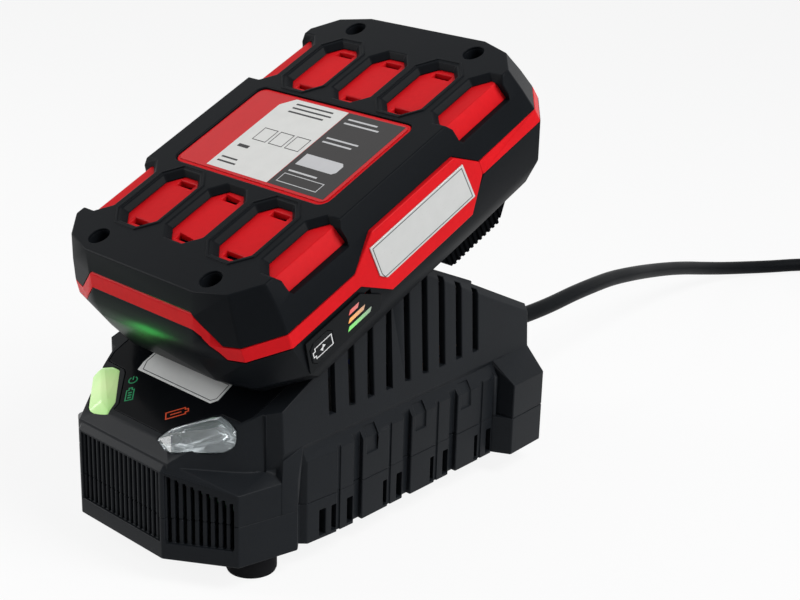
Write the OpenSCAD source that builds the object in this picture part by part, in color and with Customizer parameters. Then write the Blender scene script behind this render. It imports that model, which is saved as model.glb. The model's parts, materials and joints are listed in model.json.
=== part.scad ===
// Mains charger for an 18 to 20 V power tool battery, with a battery pack docked on it.
// Millimetres. +Z up, the display nose faces -Y, the cord leaves towards +Y, X = 0 is the
// middle plane and the feet stand on Z = 0. The pack is drawn in its own tilted frame:
// u across, v along the pack and up the slope, w square to the pack's top face.

/* [Charger housing] */
// Length of the housing from the front grille to the rear wall
housing_len = 132.4; // [128:0.2:140]
// Half width of the flat middle part of the front
front_half = 17.9; // [14:0.1:20]
// Half width where the angled front facet ends
corner_half = 35.2; // [33:0.1:37]
// How far back the angled front facet ends
corner_back = 11.4; // [9:0.1:14]
// Half width at the rear edge of the front corner block
block_half = 37.9; // [36.5:0.1:39]
// How far back the front corner block ends
block_back = 29.3; // [27:0.1:30]
// Half width of the rear corner block at its front edge
rear_block_half = 36.1; // [34:0.1:37]
// Half width of the rear wall at its foot
rear_half = 34.2; // [32:0.1:35]
// Length of the rear corner block along the side
rear_block_len = 15.6; // [14:0.1:17]
// Height of the rubber feet, which is the height of the housing's underside
base_z = 7; // [5:0.5:9]
// Height of the seam between the lower and the upper housing
seam_z = 18.8; // [16:0.1:21]
// Height of the top edge of the corner blocks
block_top = 27.8; // [26:0.1:30]
// Wall thickness of both housings
wall = 2.2; // [1.8:0.1:2.6]
// Thickness of the bottom plate
floor_t = 2; // [1.6:0.1:2.6]

/* [Side walls] */
// Half width over the bumper pads near the front
side_half = 37; // [36:0.1:38]
// Narrowing of the sides towards the rear, in mm per mm
side_taper = 0.087; // [0.07:0.001:0.1]
// Distance behind the front where the narrowing starts
taper_back = 47.2; // [44:0.1:50]
// Half width of the plain side wall at its reference height
wall_half = 36.9; // [35:0.1:37.5]
// Inward lean of the side wall, in mm per mm of height
draft = 0.065; // [0.05:0.001:0.08]
// Top edge of the bumper pads
pad_top = 31.1; // [30:0.1:33]
// Height where the bevel over the pads meets the side wall
shoulder_z = 35.9; // [34:0.1:38]
// Length of a wide pad
wide_pad = 11; // [10:0.1:11.5]
// Length of a narrow pad
narrow_pad = 5.3; // [4.5:0.1:5.5]
// Width of the fine groove between a wide and a narrow pad
fine_groove = 1.3; // [1:0.1:1.6]
// Width of the deep groove after a narrow pad
deep_groove = 3.2; // [2.8:0.1:3.3]
// Depth of the fine groove
fine_depth = 0.7; // [0.4:0.1:1]
// Depth of the deep groove
deep_depth = 1.5; // [1:0.1:1.8]
// Height of the vents along the foot of the side wall
vent_h = 7.6; // [5:0.1:9]
// Width of those vents
vent_w = 2.2; // [1.5:0.1:2.6]
// Number of tall cooling slots in each side wall
slot_count = 9; // [7:1:9]
// Pitch of the tall cooling slots
slot_pitch = 7.8; // [7:0.1:7.9]
// Width of a tall cooling slot
slot_w = 2.6; // [1.8:0.1:3]
// Height of the lower end of the cooling slots
slot_z = 41.1; // [39:0.1:43]

/* [Front grille] */
// Bottom of the grille slots
grille_lo = 11.7; // [10:0.1:13]
// Top of the grille slots
grille_hi = 31.4; // [29:0.1:31.6]
// Number of slots in the flat front
grille_count = 17; // [13:2:17]
// Number of slots in each angled facet
facet_count = 9; // [7:1:9]
// Pitch of the slots
grille_pitch = 2; // [1.8:0.05:2.05]
// Width of a slot
grille_gap = 0.95; // [0.7:0.05:1.1]
// Depth of the field that the slots lie in
grille_recess = 0.8; // [0.4:0.1:1]
// Top edge of the front lip
lip_z = 34.2; // [33:0.1:35.5]

/* [Dock] */
// Slope of the dock and of the pack on it
tilt = 26.1; // [25:0.1:27]
// Y of the middle of the pack's top face
bat_y = -7.2; // [-8:0.1:-6]
// Height of the middle of the pack's top face
bat_z = 105.3; // [104:0.1:107]
// Distance from the pack's top face to its flat underside
pack_t = 36.8; // [36:0.1:38]
// Clearance between the pack and everything on the charger
dock_gap = 0.3; // [0.2:0.05:0.5]
// Y of the dock's peak
peak_y = 13.2; // [11:0.1:14]
// Downward slope behind the peak, in degrees
rear_slope = 25.3; // [24:0.1:27]
// Half width of the neck between the rail lips
neck_half = 21; // [19:0.1:22]
// How far the rails stand out from the neck
rail_out = 3.4; // [2.5:0.1:3.6]
// Depth of the neck below the pack's underside
neck_depth = 9; // [8:0.1:10]
// Height of the rails
rail_h = 3.8; // [3:0.1:4.2]
// v of the neck's front end
neck_v0 = -42; // [-43:0.1:-40]
// v of the neck's rear end
neck_v1 = 1.5; // [-1:0.1:2]
// Distance that the pack slides to come clear of the dock
dock_travel = 60; // [50:1:80]

/* [Battery pack] */
// Half width at the red band
band_half = 43.8; // [43:0.1:44.5]
// How far the flat top face lies inside the band at each side
side_inset = 4; // [3.4:0.1:4.6]
// Half length of the top face
top_len = 57.8; // [57:0.1:58.5]
// How far the band stands out past the top face at each end
end_flare = 4.4; // [3.8:0.1:5]
// v of the middle of the pack's outline
pack_mid = 0.4; // [0:0.1:1]
// Wall of the black shells
shell_t = 2; // [1.8:0.1:2.2]
// Wall of the red core
core_t = 2; // [1.6:0.1:2.2]
// Clearance between nested shells
nest_gap = 0.1; // [0.05:0.05:0.2]
// How far the middle of the outer wells lies inside the top face's edge
well_inset = 1; // [0.6:0.1:1.4]
// Half width of a well at the top face
well_half = 7.7; // [7:0.1:8]
// Half length of a well at the top face
well_len = 12.1; // [11:0.1:12.6]
// Distance of the front row of wells from the top face's front edge
well_setback = 25; // [24.4:0.1:25.8]
// Distance of the window's sides from the top face's sides
window_inset = 8.6; // [7.8:0.1:10]
// Distance of the window's ends from the top face's ends
window_setback = 39.4; // [38.8:0.1:40.4]
// Radius of the screw holes in the top
hole_r = 3.1; // [2.6:0.1:3.2]
// Distance of the screw holes from the top face's sides
hole_inset = 16.2; // [15:0.1:18]
// Distance of the screw holes from the top face's ends
hole_setback = 5.9; // [5.4:0.1:6.4]
// Depth of the screw heads' seats below the top face
hole_depth = 7; // [5:0.5:8]

/* [Cells and contacts] */
// Diameter of a cell
cell_d = 18.3; // [18:0.1:18.6]
// Length of a cell
cell_len = 65; // [64:0.1:65.5]
// Spacing of the cells
cell_pitch = 19; // [18.8:0.1:19.2]
// Number of cells
cell_count = 5; // [4:1:5]
// Thickness of a contact blade
blade_t = 0.8; // [0.6:0.1:1.2]
// Spacing of the contact blades
blade_pitch = 9; // [7:0.5:10]

/* [Release] */
// Half width of the ribbed release slider
slider_half = 33; // [31:0.1:34]
// v of its front end
slider_v0 = 8.6; // [8.2:0.1:10]
// v of its rear end
slider_v1 = 41; // [39:0.1:42]
// Depth of the slider below the pack's underside
slider_depth = 7.6; // [6.5:0.1:8]
// Travel of the slider
slider_travel = 3; // [2:0.1:3.2]
// Travel of the latch
latch_travel = 2.4; // [1.6:0.1:2.6]
// Travel of the charge level button
button_travel = 0.6; // [0.4:0.1:0.8]

/* [Feet and screws] */
// Radius of a rubber foot
foot_r = 6.8; // [6:0.1:7.2]
// X of the front feet
foot_x = 27; // [25:0.1:27.4]
// X of the rear feet
rear_foot_x = 15; // [12:0.1:18]
// Radius of the housing screws' heads
screw_head_r = 3; // [2.5:0.1:3.2]
// Radius of the screws' threads
screw_r = 1.5; // [1.3:0.1:1.7]

/* [Cord] */
// Diameter of the cord
cord_d = 5.4; // [5:0.1:6]
// Height at which the cord leaves the rear wall
cord_z = 31; // [29:0.1:33]
// Mean radius of the stored coil
coil_r = 31; // [28:0.5:34]
// Radius of the coil's bundle
bundle_r = 10; // [8:0.5:10.5]

/* [Hidden] */
$fn = 48;

far = 200;
eps = 0.02;
y_front = -housing_len / 2;
y_rear = housing_len / 2;
top_half = band_half - side_inset;
band_len = top_len + end_flare;
well_pitch = (top_half - well_inset) / 2;
well_front = pack_mid - top_len + well_setback;
well_rear = pack_mid + top_len - well_setback + 0.2;
window_half = top_half - window_inset;
window_v0 = pack_mid - top_len + window_setback + 0.1;
window_v1 = pack_mid + top_len - window_setback + 0.1;
hole_u = top_half - hole_inset;
hole_v = top_len - hole_setback;
ink_black = "#242528";
panel_black = "#141518";
signal_red = "#d8232a";

// ---- plan of the housing -------------------------------------------------------------
pad_count = 4;
pad_front = y_front + block_back + 4;
pad_pitch = wide_pad + fine_groove + narrow_pad + deep_groove;
pad_end = pad_front + pad_count * pad_pitch - deep_groove;
rear_block_y = y_rear - rear_block_len;
upper_front = y_front + 24.9;
wall_ref_z = 41;
inner_offset = deep_depth + 1.9;

function side_x(y) = side_half - side_taper * max(0, y - y_front - taper_back);
function wall_x(y, z) =
    wall_half - side_taper * 1.06 * (y - upper_front) - draft * (z - wall_ref_z);
function mirrored(half) =
    concat(half, [for (i = [len(half) - 1 : -1 : 0]) [-half[i][0], half[i][1]]]);
function lift(points, z) = [for (p = points) [p[0], p[1], z]];

// One pitch of the side: wide pad, fine groove, narrow pad, deep groove.
function pad_steps(y) = let (
        y1 = y + wide_pad,
        y2 = y1 + fine_groove,
        y3 = y2 + narrow_pad,
        y4 = y3 + deep_groove
    ) [
        [side_x(y), y], [side_x(y1), y1],
        [side_x(y1) - fine_depth, y1], [side_x(y2) - fine_depth, y2],
        [side_x(y2) - 0.3, y2], [side_x(y3) - 0.3, y3],
        [side_x(y3) - deep_depth, y3], [side_x(y4) - deep_depth, y4]
    ];

front_points = [[front_half, y_front], [corner_half, y_front + corner_back]];
block_points = concat(front_points,
    [[block_half, y_front + block_back], [side_x(y_front) - deep_depth, pad_front - 1.6]]);
all_pads = [for (k = [0 : pad_count - 1]) each pad_steps(pad_front + k * pad_pitch)];
pad_points = [for (i = [0 : len(all_pads) - 2]) all_pads[i]];
rear_points = [[rear_block_half, rear_block_y], [rear_half, y_rear]];
housing_half = concat(block_points, pad_points, rear_points);

module housing_outline() {
    polygon(mirrored(housing_half));
}

// The hollow inside the wall, clear of the deepest grooves.
module cavity_outline() {
    polygon(mirrored([
        [front_half - wall / 2, y_front + wall + grille_recess],
        [corner_half - wall * 1.2, y_front + corner_back + wall],
        [block_half - wall - 1.2, y_front + block_back - 1],
        [side_x(pad_front) - inner_offset, pad_front],
        [side_x(pad_end) - inner_offset, pad_end],
        [side_x(pad_end) - inner_offset, rear_block_y + wall],
        [rear_half - wall, y_rear - wall]]));
}

// ---- shared builders -----------------------------------------------------------------
// A solid through rings of points. Each ring runs the same way round and all have the
// same number of points.
module loft(rings) {
    n = len(rings[0]);
    last = (len(rings) - 1) * n;
    polyhedron([for (r = rings) each r], concat(
        [[for (i = [0 : n - 1]) i]],
        [[for (i = [n - 1 : -1 : 0]) last + i]],
        [for (j = [0 : len(rings) - 2]) for (i = [0 : n - 1])
            let (a = j * n + i, b = j * n + (i + 1) % n) [a, a + n, b + n]],
        [for (j = [0 : len(rings) - 2]) for (i = [0 : n - 1])
            let (a = j * n + i, b = j * n + (i + 1) % n) [a, b + n, b]]));
}

// The convex solid over a list of points.
module skin(points) {
    hull() polyhedron(points, [for (i = [0 : len(points) - 3]) [i, i + 1, i + 2]]);
}

module slab(lo, hi) {
    translate(lo) cube(hi - lo);
}

module both_sides() {
    children();
    mirror([1, 0, 0]) children();
}

// Children are drawn with x along the side profile's Y and y upwards, and run along X.
module across(half_width) {
    rotate([90, 0, 90])
        linear_extrude(2 * half_width, center = true) children();
}

// The tilted frame of the dock and of the pack.
module in_dock() {
    translate([0, bat_y, bat_z]) rotate([tilt, 0, 0]) children();
}

dock_w = -pack_t - dock_gap;
function dock_z(y, w = 0) =
    bat_z + (dock_w + w + (y - bat_y) * sin(tilt)) / cos(tilt);
peak_z = dock_z(peak_y);
function rear_z(y) = peak_z - (y - peak_y) * tan(rear_slope);

// Everything below the dock's slope and below the slope behind the peak.
module under_roof(drop = 0) {
    across(far) offset(delta = -drop)
        polygon([[-far, -far], [-far, dock_z(-far)], [peak_y, peak_z],
            [far, rear_z(far)], [far, -far]]);
}

// ---- lower housing -------------------------------------------------------------------
facet_len = norm(front_points[1] - front_points[0]);
facet_angle = atan2(corner_back, corner_half - front_half);
facet_drop = 0.33;
boss_r = 4.2;
post_r = 3.2;
boss_spots = [[29.5, y_front + 32.7], [21.5, rear_block_y + 6.5]];
board_z = 14;
board_t = 1.6;
board_top = board_z + board_t;
board_half = 24.5;
board_y0 = -44;
board_y1 = 44;
standoff_spots = [[21, board_y0 + 4], [21, board_y1 - 4]];
foot_front_y = y_front + 22.6;
foot_rear_y = 48;
vent_lift = 0.8;

module at_corners(spots) {
    for (p = spots)
        both_sides() translate([p[0], p[1], 0]) children();
}

module feet_spots() {
    both_sides() translate([foot_x, foot_front_y, 0]) children();
    both_sides() translate([rear_foot_x, foot_rear_y, 0]) children();
}

// Slots and their shallow field in the flat front and in both angled facets.
module grille_cut() {
    field = (grille_count - 1) / 2 * grille_pitch + grille_gap;
    deep = wall + grille_recess + 1;
    slab([-field, y_front - 1, grille_lo], [field, y_front + grille_recess, grille_hi]);
    for (i = [0 : grille_count - 1])
        translate([(i - (grille_count - 1) / 2) * grille_pitch, y_front, grille_lo])
            translate([-grille_gap / 2, -1, 0])
                cube([grille_gap, 1 + deep, grille_hi - grille_lo]);
    both_sides() translate([front_half, y_front, 0]) rotate(facet_angle)
        for (i = [0 : facet_count - 1])
            let (s = 1.9 + i * (facet_len - 3.8) / (facet_count - 1))
                translate([s - grille_gap / 2, -1, grille_lo])
                    cube([grille_gap, 1 + deep, grille_hi - grille_lo - s * facet_drop]);
    both_sides() translate([front_half, y_front, 0]) rotate(facet_angle)
        translate([0, grille_recess, 0]) rotate([90, 0, 0])
            linear_extrude(grille_recess + 1)
                polygon([[1, grille_lo], [facet_len - 1.9, grille_lo],
                    [facet_len - 1.1, grille_lo + 0.8],
                    [facet_len - 1.1, grille_hi - 1.4 - facet_len * facet_drop],
                    [facet_len - 1.9, grille_hi - 0.5 - facet_len * facet_drop],
                    [1, grille_hi - facet_drop]]);
}

// Vents beside the grooves along the foot of the side wall, and one ahead of them.
vent_steps = [10.1, 16.2];
vent_spots = concat([pad_front + 5.7],
    [for (k = [0 : pad_count - 1]) for (s = vent_steps) pad_front + k * pad_pitch + s]);
module vent_cuts() {
    for (y = vent_spots)
        both_sides()
            slab([side_x(y) - inner_offset - 1, y - vent_w / 2, base_z + vent_lift],
                [side_x(y) + 1, y + vent_w / 2, base_z + vent_lift + vent_h]);
}

module lower_housing() {
    color(ink_black) difference() {
        union() {
            difference() {
                translate([0, 0, base_z])
                    linear_extrude(seam_z - base_z) housing_outline();
                translate([0, 0, base_z + floor_t])
                    linear_extrude(seam_z) cavity_outline();
            }
            at_corners(boss_spots)
                translate([0, 0, base_z]) cylinder(r = boss_r, h = seam_z - base_z);
            at_corners(standoff_spots)
                translate([0, 0, base_z]) cylinder(r = 3, h = board_z - base_z);
        }
        at_corners(boss_spots) {
            translate([0, 0, base_z - 1]) cylinder(r = screw_head_r + 0.3, h = 4);
            translate([0, 0, base_z]) cylinder(r = screw_r + 0.3, h = far);
        }
        at_corners(standoff_spots)
            translate([0, 0, base_z + floor_t]) cylinder(r = screw_r - 0.5, h = far);
        grille_cut();
        vent_cuts();
    }
}

// ---- upper housing -------------------------------------------------------------------
nose_mid = [28.6, y_front + 13.1];
nose_side = [31.4, y_front + 17.7];
nose_back = [33.2, y_front + 22.4];
lip_half = 19.4;
lip_y = y_front + 1.3;
panel_front_y = y_front + 5.6;
panel_front_half = 13.3;
panel_side = [29.4, y_front + 17.4];
panel_back = [32.2, y_front + 23];
ledge_z = 30.2;
channel_half = neck_half + rail_out + dock_gap;
channel_v0 = neck_v0 - dock_gap;
channel_w = -pack_t - neck_depth - dock_gap;
lip_gap_half = neck_half + dock_gap;
rail_w = -pack_t - neck_depth + rail_h + dock_gap;

// Corner points of the plain upper walls at one height, one side.
function upper_half(z, in) = [
    [nose_back[0] - in, upper_front - 2.6 + in],
    [wall_x(upper_front, z) - in, upper_front + in],
    [wall_x(y_rear, z) - in, y_rear - in]];
function upper_ring(z, in) = lift(mirrored(upper_half(z, in)), z);

// The same points where the bumper pads cover the wall.
function padded_ring(z, in) = lift(mirrored([
    [nose_back[0] - in, upper_front - 2.6 + in],
    [side_x(upper_front) - deep_depth - in, upper_front + in],
    [side_x(y_rear) - deep_depth - in, y_rear - in]]), z);

module upper_walls(in = 0, z0 = seam_z) {
    loft([padded_ring(z0, in), padded_ring(pad_top, in), upper_ring(shoulder_z, in),
        upper_ring(110, in)]);
}

// Blocks at the corners: the front pair carries the grille facets, the rear pair is
// bevelled up to the side wall.
rear_bevel_z = pad_top - 1.6;
module corner_blocks() {
    foot = concat(front_points,
        [[block_half, y_front + block_back], [nose_back[0], y_front + block_back + 3]]);
    top = [[front_half, y_front, lip_z - 2.4], [lip_half - 1.4, lip_y + 0.4, lip_z],
        [corner_half, y_front + corner_back, block_top - 0.3],
        [block_half, y_front + block_back, block_top],
        [nose_mid[0], nose_mid[1], ledge_z], [nose_back[0], nose_back[1], ledge_z]];
    skin(concat(lift(mirrored(foot), seam_z), top, [for (p = top) [-p[0], p[1], p[2]]]));
    ramp = [[block_half - 0.6, y_front + block_back - 5], [block_half, y_front + block_back],
        [nose_back[0], y_front + block_back + 3], [nose_back[0], y_front + block_back - 5]];
    both_sides() skin(concat(lift(ramp, seam_z), lift([ramp[0], ramp[1]], block_top),
        [[wall_x(upper_front, shoulder_z) - 0.2, upper_front, shoulder_z - 2.1],
            [wall_x(upper_front + 7.1, shoulder_z) + 0.2, upper_front + 7.1, shoulder_z],
            [ramp[2][0], ramp[2][1], shoulder_z], [ramp[3][0], ramp[3][1], shoulder_z - 2]]));
    inner_x = side_x(pad_end) - 5;
    both_sides() loft([
        lift([[inner_x, rear_block_y - 1.8], [rear_block_half, rear_block_y],
            [rear_half, y_rear], [inner_x - 3, y_rear]], seam_z),
        lift([[inner_x, rear_block_y - 1.8], [rear_block_half, rear_block_y],
            [rear_half, y_rear], [inner_x - 3, y_rear]], rear_bevel_z),
        lift([[inner_x - 6, rear_block_y - 2.4],
            [wall_x(rear_block_y, shoulder_z) - 0.4, rear_block_y - 2.4],
            [wall_x(y_rear, shoulder_z) - 0.4, y_rear], [inner_x - 9, y_rear]],
            shoulder_z + 0.5)]);
}

// The nose stands a little over the roof's plane, which cuts it.
module nose(in = 0) {
    foot_z = seam_z - (in > 0 ? 1 : 0);
    side = [nose_mid, nose_side, nose_back, [nose_back[0], y_front + 30]];
    roof = [[panel_front_half, panel_front_y], panel_side, panel_back,
        [nose_back[0] - 0.6, y_front + 30]];
    half = concat(
        [for (p = side) [p[0] - in, p[1] + in, foot_z]],
        [for (z = [foot_z, lip_z - in]) [lip_half - in * 1.4, lip_y + in, z]],
        [for (i = [0 : 3]) let (p = roof[i], over = in > 0 ? -in * 1.2 : (i == 0 ? 0.1 : 1))
            [p[0] - in, p[1] + in, dock_z(p[1] + in, over)]]);
    skin(concat(half, [for (p = half) [-p[0], p[1], p[2]]]));
}

// Bumper pads with the ledge over them, drawn in by "in".
pad_ys = [pad_front - 1.6, y_front + taper_back, rear_block_y - 1.8];
ledge_top = shoulder_z - 1.2;
module pads(in = 0) {
    intersection() {
        translate([0, 0, seam_z]) linear_extrude(far) offset(delta = -in) housing_outline();
        loft([
            lift(mirrored([for (y = pad_ys) [side_x(y) - in, y]]), seam_z),
            lift(mirrored([for (y = pad_ys) [side_x(y) - in, y]]), pad_top - in * 0.6),
            lift(mirrored([for (y = pad_ys) [wall_x(y, ledge_top) - 0.6 - in, y]]), ledge_top)]);
    }
}

// Shallow fields on the last three wide pads, from the face up over the ledge.
field_depth = 0.6;
field_y = [1.7, 6.2];
field_z = [26.1, ledge_top - 0.9];
module pad_fields() {
    difference() {
        for (k = [1 : pad_count - 1]) let (y = pad_front + k * pad_pitch)
            both_sides() slab([side_x(y) - 2.6, y + field_y[0], field_z[0]],
                [side_x(y) + 2, y + field_y[1], field_z[1]]);
        pads(field_depth);
    }
}

// Tall cooling slots through the side wall, up into the bevel under the roof's edge.
module side_slots() {
    y0 = upper_front + 18.9;
    intersection() {
        for (k = [0 : slot_count - 1]) let (y = y0 + k * slot_pitch)
            both_sides() slab([wall_x(y, peak_z) - wall - 0.5, y - slot_w / 2, slot_z],
                [far / 2, y + slot_w / 2, far]);
        under_roof(1);
    }
}

// Bevel along the roof's edge behind the peak, running out at the peak.
bevel_in = 1.1;
bevel_down = 2;
module roof_bevels() {
    both_sides() loft([for (s = [[peak_y - 3, bevel_in + 0.2], [peak_y + 2, 0],
            [y_rear + 1, 0]]) let (
            y = s[0], z = rear_z(y), x = wall_x(y, z) + s[1]
        ) [[x - 2 * bevel_in, y, z + bevel_down], [x + 4, y, z + bevel_down],
            [x + 4, y, z - 2 * bevel_down], [x + bevel_in, y, z - 2 * bevel_down]]]);
}

// T-shaped way for the pack's neck and rails, open at the peak.
module channel_cut() {
    in_dock() {
        slab([-channel_half, channel_v0, channel_w], [channel_half, far, rail_w]);
        slab([-lip_gap_half, channel_v0, channel_w], [lip_gap_half, far, 0]);
    }
}

module channel_tub() {
    intersection() {
        in_dock() slab([-channel_half - wall, channel_v0 - wall, channel_w - wall],
            [channel_half + wall, far, 0]);
        upper_walls(wall / 2);
        under_roof();
    }
}

module upper_bosses() {
    intersection() {
        at_corners(boss_spots) translate([0, 0, seam_z]) cylinder(r = post_r, h = far);
        under_roof(wall / 2);
    }
}

// A low thin rail along the ridge on each side, next to the dock's mouth.
ridge_end = peak_y + 26;
rail_t = 1.6;
module ridge_rails() {
    both_sides() loft([for (s = [[ridge_end, 0.9], [peak_y + 1, -0.2]]) let (
            y = s[0], z = rear_z(y) + s[1], x = wall_x(y, rear_z(y)) - bevel_in + 0.15
        ) [[x, y, z - 3], [x, y, z], [x - rail_t, y, z], [x - rail_t, y, z - 3]]]);
}

relief_r = 4.9;
relief_hole = relief_r + 0.15;
carrier_half = blade_pitch * 1.5 + 4;
panel_t = 0.6;

module upper_housing() {
    color(ink_black) difference() {
        union() {
            difference() {
                union() {
                    corner_blocks();
                    pads();
                    intersection() {
                        union() {
                            nose();
                            upper_walls();
                        }
                        under_roof();
                    }
                }
                translate([0, 0, seam_z - 1]) linear_extrude(block_top - seam_z - 0.5)
                    cavity_outline();
                difference() {
                    nose(wall);
                    translate([-far, y_front + 28, 0]) cube(2 * far);
                }
                intersection() {
                    upper_walls(wall, seam_z - 1);
                    under_roof(wall);
                }
                roof_bevels();
            }
            channel_tub();
            upper_bosses();
            ridge_rails();
            indicator_posts();
        }
        channel_cut();
        side_slots();
        grille_cut();
        pad_fields();
        at_corners(boss_spots) translate([0, 0, seam_z - 1])
            cylinder(r = screw_r - 0.2, h = 9);
        translate([0, y_rear + 1, cord_z]) rotate([90, 0, 0])
            cylinder(r = relief_hole, h = wall + 6);
        in_dock() {
            translate([0, 0, dock_w - panel_t - nest_gap])
                linear_extrude(far) offset(delta = nest_gap) panel_outline();
            lens_sockets();
            for (i = [-1.5 : 1.5])
                slab([i * blade_pitch - blade_t / 2 - 0.2, channel_v0 - wall - 1, blade_w0 - 0.2],
                    [i * blade_pitch + blade_t / 2 + 0.2, channel_v0 + 1, blade_w1 + 0.2]);
        }
    }
}

// ---- display nose --------------------------------------------------------------------
// v of the display's front edge, from which the parts of the display are placed.
nose_v = (panel_front_y - bat_y + dock_w * sin(tilt)) / cos(tilt);
function from_nose(points) = [for (p = points) [p[0], nose_v + p[1]]];

module panel_outline() {
    polygon(mirrored(concat(
        from_nose([[10.6, 1], [11, 3.3], [19.4, 12.6], [21, 13.5], [28.6, 13.7], [30, 17.1]]),
        [[30.4, neck_v0 - 4]])));
}

module display_panel() {
    color(panel_black) in_dock() translate([0, 0, dock_w - panel_t])
        linear_extrude(panel_t) panel_outline();
}

plate_half = 16;
plate_t = 0.2;
module display_plate() {
    color("gainsboro") in_dock() translate([0, 0, dock_w])
        linear_extrude(plate_t) polygon(from_nose([[-plate_half - 0.8, 15],
            [plate_half - 1.4, 15], [plate_half, 16.8], [plate_half - 0.8, 23],
            [-plate_half - 1.6, 23], [-plate_half - 1.6, 18]]));
}

// Cut-crystal lenses over the edge between the display and the side of the nose. Each
// point is given across, back from the display's front edge and up from its face.
lens_right_points = [[10.6, -2, -1], [13.6, -2.6, -1.3], [18.6, -2.6, -0.4],
    [28.4, 5.6, -3.7], [29.8, 7.6, -3.5], [30.4, 8.8, -2.7], [30.4, 9.8, -1.3],
    [10.9, -0.6, 0], [11.3, 3, 0], [19.7, 12.2, 0], [21.2, 13.1, 0], [25, 12.7, 0],
    [29.7, 11.1, 0], [17.8, -1.6, -0.4], [28.9, 6.7, 0.2], [29.1, 8.8, 0.4],
    [15.3, 0.8, 1.6], [26, 9, 1.7], [24.3, 9.7, 1.7], [14, 2.4, 1.5]];
lens_left_points = [[10.9, -2, -1], [13.6, -2.6, -1.3], [18.2, -2.6, -0.4],
    [27.6, 5.6, -3.7], [28.6, 7.6, -3.5], [28.8, 8.8, -2.7], [28.6, 9.8, -1.3],
    [11.4, -0.6, 0], [12.6, 3, 0], [21.4, 11.6, 0], [22.6, 12.6, 0], [25, 12.6, 0],
    [28, 11.1, 0], [17.6, -1.6, -0.4], [27.3, 6.6, 0.2], [27.6, 8.8, 0.4],
    [15.3, 0.8, 1.6], [25.6, 8.8, 1.7], [24.6, 9.7, 1.7], [14.6, 2.4, 1.5]];
// Where the lenses reach inside the nose.
lens_foot = [[13.5, 1.6, -4.6], [19, 11, -4.6], [26, 10.6, -4.6], [26.4, 7, -4.6]];
lens_mid = [21, 5.5, -1.5];
module lens(points, grow = 0) {
    skin([for (p = concat(points, lens_foot))
        let (d = (p - lens_mid) / norm(p - lens_mid) * grow)
            [p[0] + d[0], nose_v + p[1] + d[1], dock_w + p[2] + d[2]]]);
}

module lens_sockets() {
    lens(lens_right_points, 0.2);
    mirror([1, 0, 0]) lens(lens_left_points, 0.2);
}

module lens_left() {
    color("palegreen") in_dock() mirror([1, 0, 0]) lens(lens_left_points);
}

module lens_right() {
    color("whitesmoke", 0.6) in_dock() lens(lens_right_points);
}

led_board_w = -47;
led_board_t = 1.2;
led_spot = from_nose([[21.3, 7.6]])[0];
post_spots = from_nose([[9, 7.6], [16, 17.6]]);
led_board = from_nose([[23, 5.8], [23, 20.1]]);
module indicator_posts() {
    in_dock() for (p = post_spots)
        both_sides() translate([p[0], p[1], led_board_w + led_board_t])
            cylinder(r = 1.8, h = dock_w - wall / 2 - led_board_w - led_board_t);
}

module indicator_board() {
    color("darkgreen") in_dock() slab([-led_board[0][0], led_board[0][1], led_board_w],
        [led_board[1][0], led_board[1][1], led_board_w + led_board_t]);
}

module indicator_leds() {
    color("white") in_dock() both_sides()
        translate([led_spot[0], led_spot[1], led_board_w + led_board_t]) {
            cylinder(r = 1.5, h = 1.2);
            translate([0, 0, 1.2]) intersection() {
                sphere(r = 1.5);
                cylinder(r = 2, h = 2);
            }
        }
}

// ---- electronics ---------------------------------------------------------------------
module circuit_board() {
    color("darkgreen") difference() {
        slab([-board_half, board_y0, board_z], [board_half, board_y1, board_top]);
        at_corners(standoff_spots) translate([0, 0, board_z - 1])
            cylinder(r = screw_r, h = 4);
    }
}

module board_screws() {
    color("silver") at_corners(standoff_spots) {
        translate([0, 0, board_top]) cylinder(r = 2.6, h = 1.6);
        translate([0, 0, board_z - 4]) cylinder(r = screw_r - 0.5, h = 4 + board_t + 0.1);
    }
}

core_size = [26, 22, 21];
core_y = 2;
leg_w = 5;
module transformer_core() {
    color("dimgray") translate([-core_size[0] / 2, core_y - core_size[1] / 2, board_top])
        difference() {
            cube(core_size);
            translate([leg_w, -1, leg_w])
                cube([core_size[0] - 2 * leg_w, core_size[1] + 2, core_size[2] - 2 * leg_w]);
        }
}

module transformer_winding() {
    gap = 0.15;
    color("goldenrod") translate([0, core_y, board_top + leg_w + gap])
        intersection() {
            union() {
                cylinder(r = 11, h = core_size[2] - 2 * (leg_w + gap));
                for (z = [0, core_size[2] - 2 * (leg_w + gap) - 1])
                    translate([0, 0, z]) cylinder(r = 12.5, h = 1);
            }
            slab([-core_size[0] / 2 + leg_w + gap, -far, -far],
                [core_size[0] / 2 - leg_w - gap, far, far]);
        }
}

module capacitor(r, h) {
    difference() {
        cylinder(r = r, h = h);
        translate([0, 0, h - 0.3]) cylinder(r = r - 1.2, h = 1);
        translate([0, 0, 2]) rotate_extrude()
            translate([r, 0]) circle(r = 0.5, $fn = 16);
    }
}

module capacitors() {
    color("midnightblue") {
        translate([-14, 27, board_top]) capacitor(8, 27);
        translate([15, -30, board_top]) capacitor(5, 16);
        translate([2, -30, board_top]) capacitor(5, 16);
    }
}

sink_y = [-16, 16];
sink_x = -19;
module heat_sink() {
    color("silver") {
        slab([sink_x, sink_y[0], board_top], [sink_x + 1.6, sink_y[1], board_top + 22]);
        for (i = [0 : 6])
            slab([sink_x - 4, sink_y[0] + i * 5, board_top + 1],
                [sink_x, sink_y[0] + i * 5 + 1.2, board_top + 22]);
    }
}

module power_transistor() {
    color("black") {
        slab([sink_x + 1.6, -5, board_top + 6], [sink_x + 6, 5, board_top + 15]);
        for (i = [-1 : 1])
            slab([sink_x + 3.4, i * 2.5 - 0.4, board_top],
                [sink_x + 4, i * 2.5 + 0.4, board_top + 6]);
    }
}

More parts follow.
